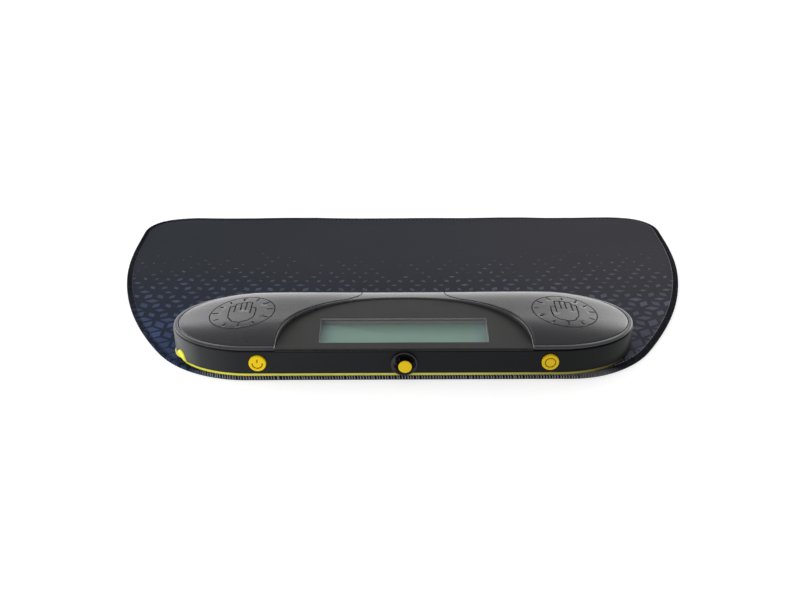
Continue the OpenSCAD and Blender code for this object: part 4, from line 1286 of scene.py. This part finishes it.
# ------------------------------------------------------------------ push buttons
def make_button(name, x0, z0, r, front, back, flange_r, flange_y, grooves, depth=0.3):
    """A round button: a rounded, slightly dished face with an engraved sign, a shank and a flange behind the wall."""
    face = circle((0, 0), r, 96)

    def keep(p):
        return in_poly(face, p)

    loops = [(circle((0, 0), r - d, 96), True) for d in (0.0, 0.04, 0.12, 0.25, 0.42, 0.6, 0.9, 1.3)]
    lines = []
    for g, closed, w in grooves:
        for o in (0.0, w * 0.6, -w * 0.6, w, -w):
            lines.append((offset_line(g, o, closed) if o else g, closed))
    pts, edges = loops_to_edges(loops + lines)
    sp = 0.45
    gx, gy = np.meshgrid(np.arange(-r, r, sp), np.arange(-r, r, sp * 0.866))
    gx = gx + (np.arange(gx.shape[0]) % 2)[:, None] * sp / 2
    grid = np.column_stack([gx.ravel(), gy.ravel()])
    ok = np.hypot(grid[:, 0], grid[:, 1]) < r - 1.5
    for g, closed, w in grooves:
        ok &= dist_to(g, grid, closed) > w + 0.12
    grid = grid[ok]
    v, t = cdt(pts + list(map(tuple, grid)), edges)
    t = t[keep(v[t].mean(1))]
    used = np.unique(t)
    index = np.full(len(v), -1)
    index[used] = np.arange(len(used))
    v, t = v[used], index[t]
    rad = np.hypot(v[:, 0], v[:, 1])
    h = -drop(r - rad, 0.6) - 0.10 * (1 - np.clip(rad / (r - 0.9), 0, 1) ** 2)
    ink = np.zeros(len(v))
    for g, closed, w in grooves:
        k = 1 - smooth((dist_to(g, v, closed) - 0.55 * w) / (0.45 * w))
        ink = np.maximum(ink, k)
    h = h - depth * ink
    # close the shank behind the face, out to the flange
    ring_ids = [i for i in range(len(v)) if abs(rad[i] - r) < 1e-4]
    ring_ids.sort(key=lambda i: math.atan2(v[i, 1], v[i, 0]))
    verts = [(x0 + v[i, 0], front - h[i], z0 + v[i, 1]) for i in range(len(v))]
    faces = [tuple(f) for f in t]
    prev = ring_ids
    for rr, yy in ((r, flange_y), (flange_r, flange_y), (flange_r, back)):
        cur = []
        for i in ring_ids:
            a = math.atan2(v[i, 1], v[i, 0])
            cur.append(len(verts))
            verts.append((x0 + rr * math.cos(a), yy, z0 + rr * math.sin(a)))
        n = len(cur)
        faces += [(prev[i], prev[(i + 1) % n], cur[(i + 1) % n], cur[i]) for i in range(n)]
        prev = cur
    faces.append(tuple(prev))
    obj = make(name, np.array(verts), faces, M["button"], 40)
    # the bottom of the sign is a little darker and rougher: painted shade in the engraved sign
    obj.data.materials.append(M["groove"])
    for poly in obj.data.polygons:
        ids = [q for q in poly.vertices]
        if len(ids) == 3 and all(q < len(v) and ink[q] > 0.3 for q in ids):
            poly.material_index = 1
    return obj


def arc_pts(r, a0, a1, n):
    return np.array([(r * math.cos(math.radians(a0 + (a1 - a0) * i / n)), r * math.sin(math.radians(a0 + (a1 - a0) * i / n))) for i in range(n + 1)])


power_sign = [(arc_pts(3.15, 172, 368, 40), False, 0.55), (np.array([(0, 0.9), (0, 1.6), (0, 2.4), (0, 3.1)]), False, 0.55)]
power = make_button("power_push_button", -BX, BZ, 5.4, -1.7, 3.3, 6.15, 2.3, power_sign)
put(power, "power_button", "button_plastic", "power_button")
reset_sign = [(circle((0, 0), 3.2, 60), True, 0.5)]
reset = make_button("reset_push_button", BX, BZ, 5.4, -1.7, 3.3, 6.15, 2.3, reset_sign)
put(reset, "reset_button", "button_plastic", "reset_button")
mode_profile = round_corners([(0, -4.9), (4.2, -4.9), (4.2, -4.1), (3.6, -4.0), (3.6, 3.3), (3.85, 3.3), (3.85, 4.1), (0, 4.1)], [0, 0.6, 0, 0, 0, 0, 0, 0], 6)
mode = lathe("middle_push_button", mode_profile, (0.6, MZ), M["button"])
# a yellow cap on a black stem
mode.data.materials.append(M["bezel"])
for poly in mode.data.polygons:
    if poly.center.y > (-4.15 - OY) * 0.001:
        poly.material_index = 1
put(mode, "mode_button", "button_plastic", "mode_button")
bezel_profile = round_corners([(8.4, -1.6), (8.4, 0.0), (5.62, 0.0), (5.62, 3.2), (4.27, 3.2), (4.27, 0.25), (4.65, 0.15), (6.2, -0.75), (7.55, -1.6)],
                              [0.3, 0.1, 0, 0, 0, 0.15, 0.2, 1.2, 0.2], 6)
bezel = lathe("middle_button_dish", bezel_profile, (0, MZ), M["bezel"], 120)
put(bezel, "timer", "bezel_gloss", "mode_bezel")

# ------------------------------------------------------------------ camera, floor and light
cam = bpy.data.cameras.new("camera")
cam.sensor_fit = "HORIZONTAL"
cam.sensor_width = 36.0
cam.lens = 900.0 / 800.0 * 36.0
cam.shift_x = -4.065 / 800.0
cam.clip_start, cam.clip_end = 0.01, 50.0
camera = bpy.data.objects.new("camera", cam)
bpy.context.scene.collection.objects.link(camera)
camera.location = (-0.00373, -0.59642, 0.31531)
camera.rotation_mode = "QUATERNION"
camera.rotation_quaternion = Vector((0.00692, 0.87790, -0.47875)).to_track_quat("-Z", "Y")
bpy.context.scene.camera = camera


def stage_plane(name, size, z):
    s = size / 2
    me = bpy.data.meshes.new(name)
    me.from_pydata([(-s, -s, z), (s, -s, z), (s, s, z), (-s, s, z)], [], [(0, 1, 2, 3)])
    o = bpy.data.objects.new(name, me)
    bpy.context.scene.collection.objects.link(o)
    return o


floor = stage_plane("studio_floor", 16.0, -0.0002)
fm, fnt, fb, fco = start("studio_floor_paint")
fn = noise(fnt, fco, 3.0, 2.0)
fnt.links.new(mix(fnt, fn, (0.52, 0.52, 0.52, 1), (0.56, 0.56, 0.56, 1)), fb.inputs["Base Color"])
fb.inputs["Roughness"].default_value = 0.9
fb.inputs["Specular IOR Level"].default_value = 0.1
# the floor is a pale lit sweep, so that shadows on it stay soft
fb.inputs["Emission Color"].default_value = (1.0, 1.0, 1.0, 1.0)
fb.inputs["Emission Strength"].default_value = 0.64
floor.data.materials.append(fm)


def area_light(name, location, target, size_x, size_y, power_w, colour=(1, 1, 1)):
    light = bpy.data.lights.new(name, "AREA")
    light.shape = "RECTANGLE"
    light.size, light.size_y = size_x, size_y
    light.energy = power_w
    light.color = colour
    o = bpy.data.objects.new(name, light)
    bpy.context.scene.collection.objects.link(o)
    o.location = location
    o.rotation_mode = "QUATERNION"
    o.rotation_quaternion = (Vector(target) - Vector(location)).to_track_quat("-Z", "Y")
    return o


world = bpy.data.worlds.new("studio")
bpy.context.scene.world = world
world.use_nodes = True
wn = world.node_tree
bg = wn.nodes["Background"]
wco = wn.nodes.new("ShaderNodeTexCoord").outputs["Generated"]
wsep = add(wn, "ShaderNodeSeparateXYZ", {0: wco})
wy, wz = wsep.outputs[1], wsep.outputs[2]
back = remap(wn, wy, -0.1, 0.6, 0.0, 1.0)
low = remap(wn, wz, 0.525, 0.43, 0.0, 1.0)
mid = remap(wn, wz, 0.98, 0.60, 0.0, 0.04)
wcol = mix(wn, math_node(wn, "MULTIPLY", back, math_node(wn, "ADD", low, mid)), (0.33, 0.33, 0.335, 1), (3.0, 3.0, 3.03, 1))
wn.links.new(wcol, bg.inputs["Color"])
bg.inputs["Strength"].default_value = 1.0

top = area_light("top_softbox", (-0.6, 0.2, 2.6), (0, 0, 0), 2.5, 2.5, 14.0)
top.visible_glossy = False
area_light("left_softbox", (-1.6, 0.35, 0.6), (0, 0, 0), 1.0, 0.9, 10.0)
area_light("right_softbox", (1.3, 1.2, 0.75), (0, 0, 0), 1.0, 0.9, 7.0, (1.0, 0.98, 0.95))
front = area_light("front_left_box", (-0.45, -0.65, 0.30), (-0.05, -0.1, 0), 0.35, 0.3, 1.7)
front.visible_glossy = False

bpy.context.scene.view_settings.view_transform = "Standard"
bpy.context.scene.view_settings.look = "None"
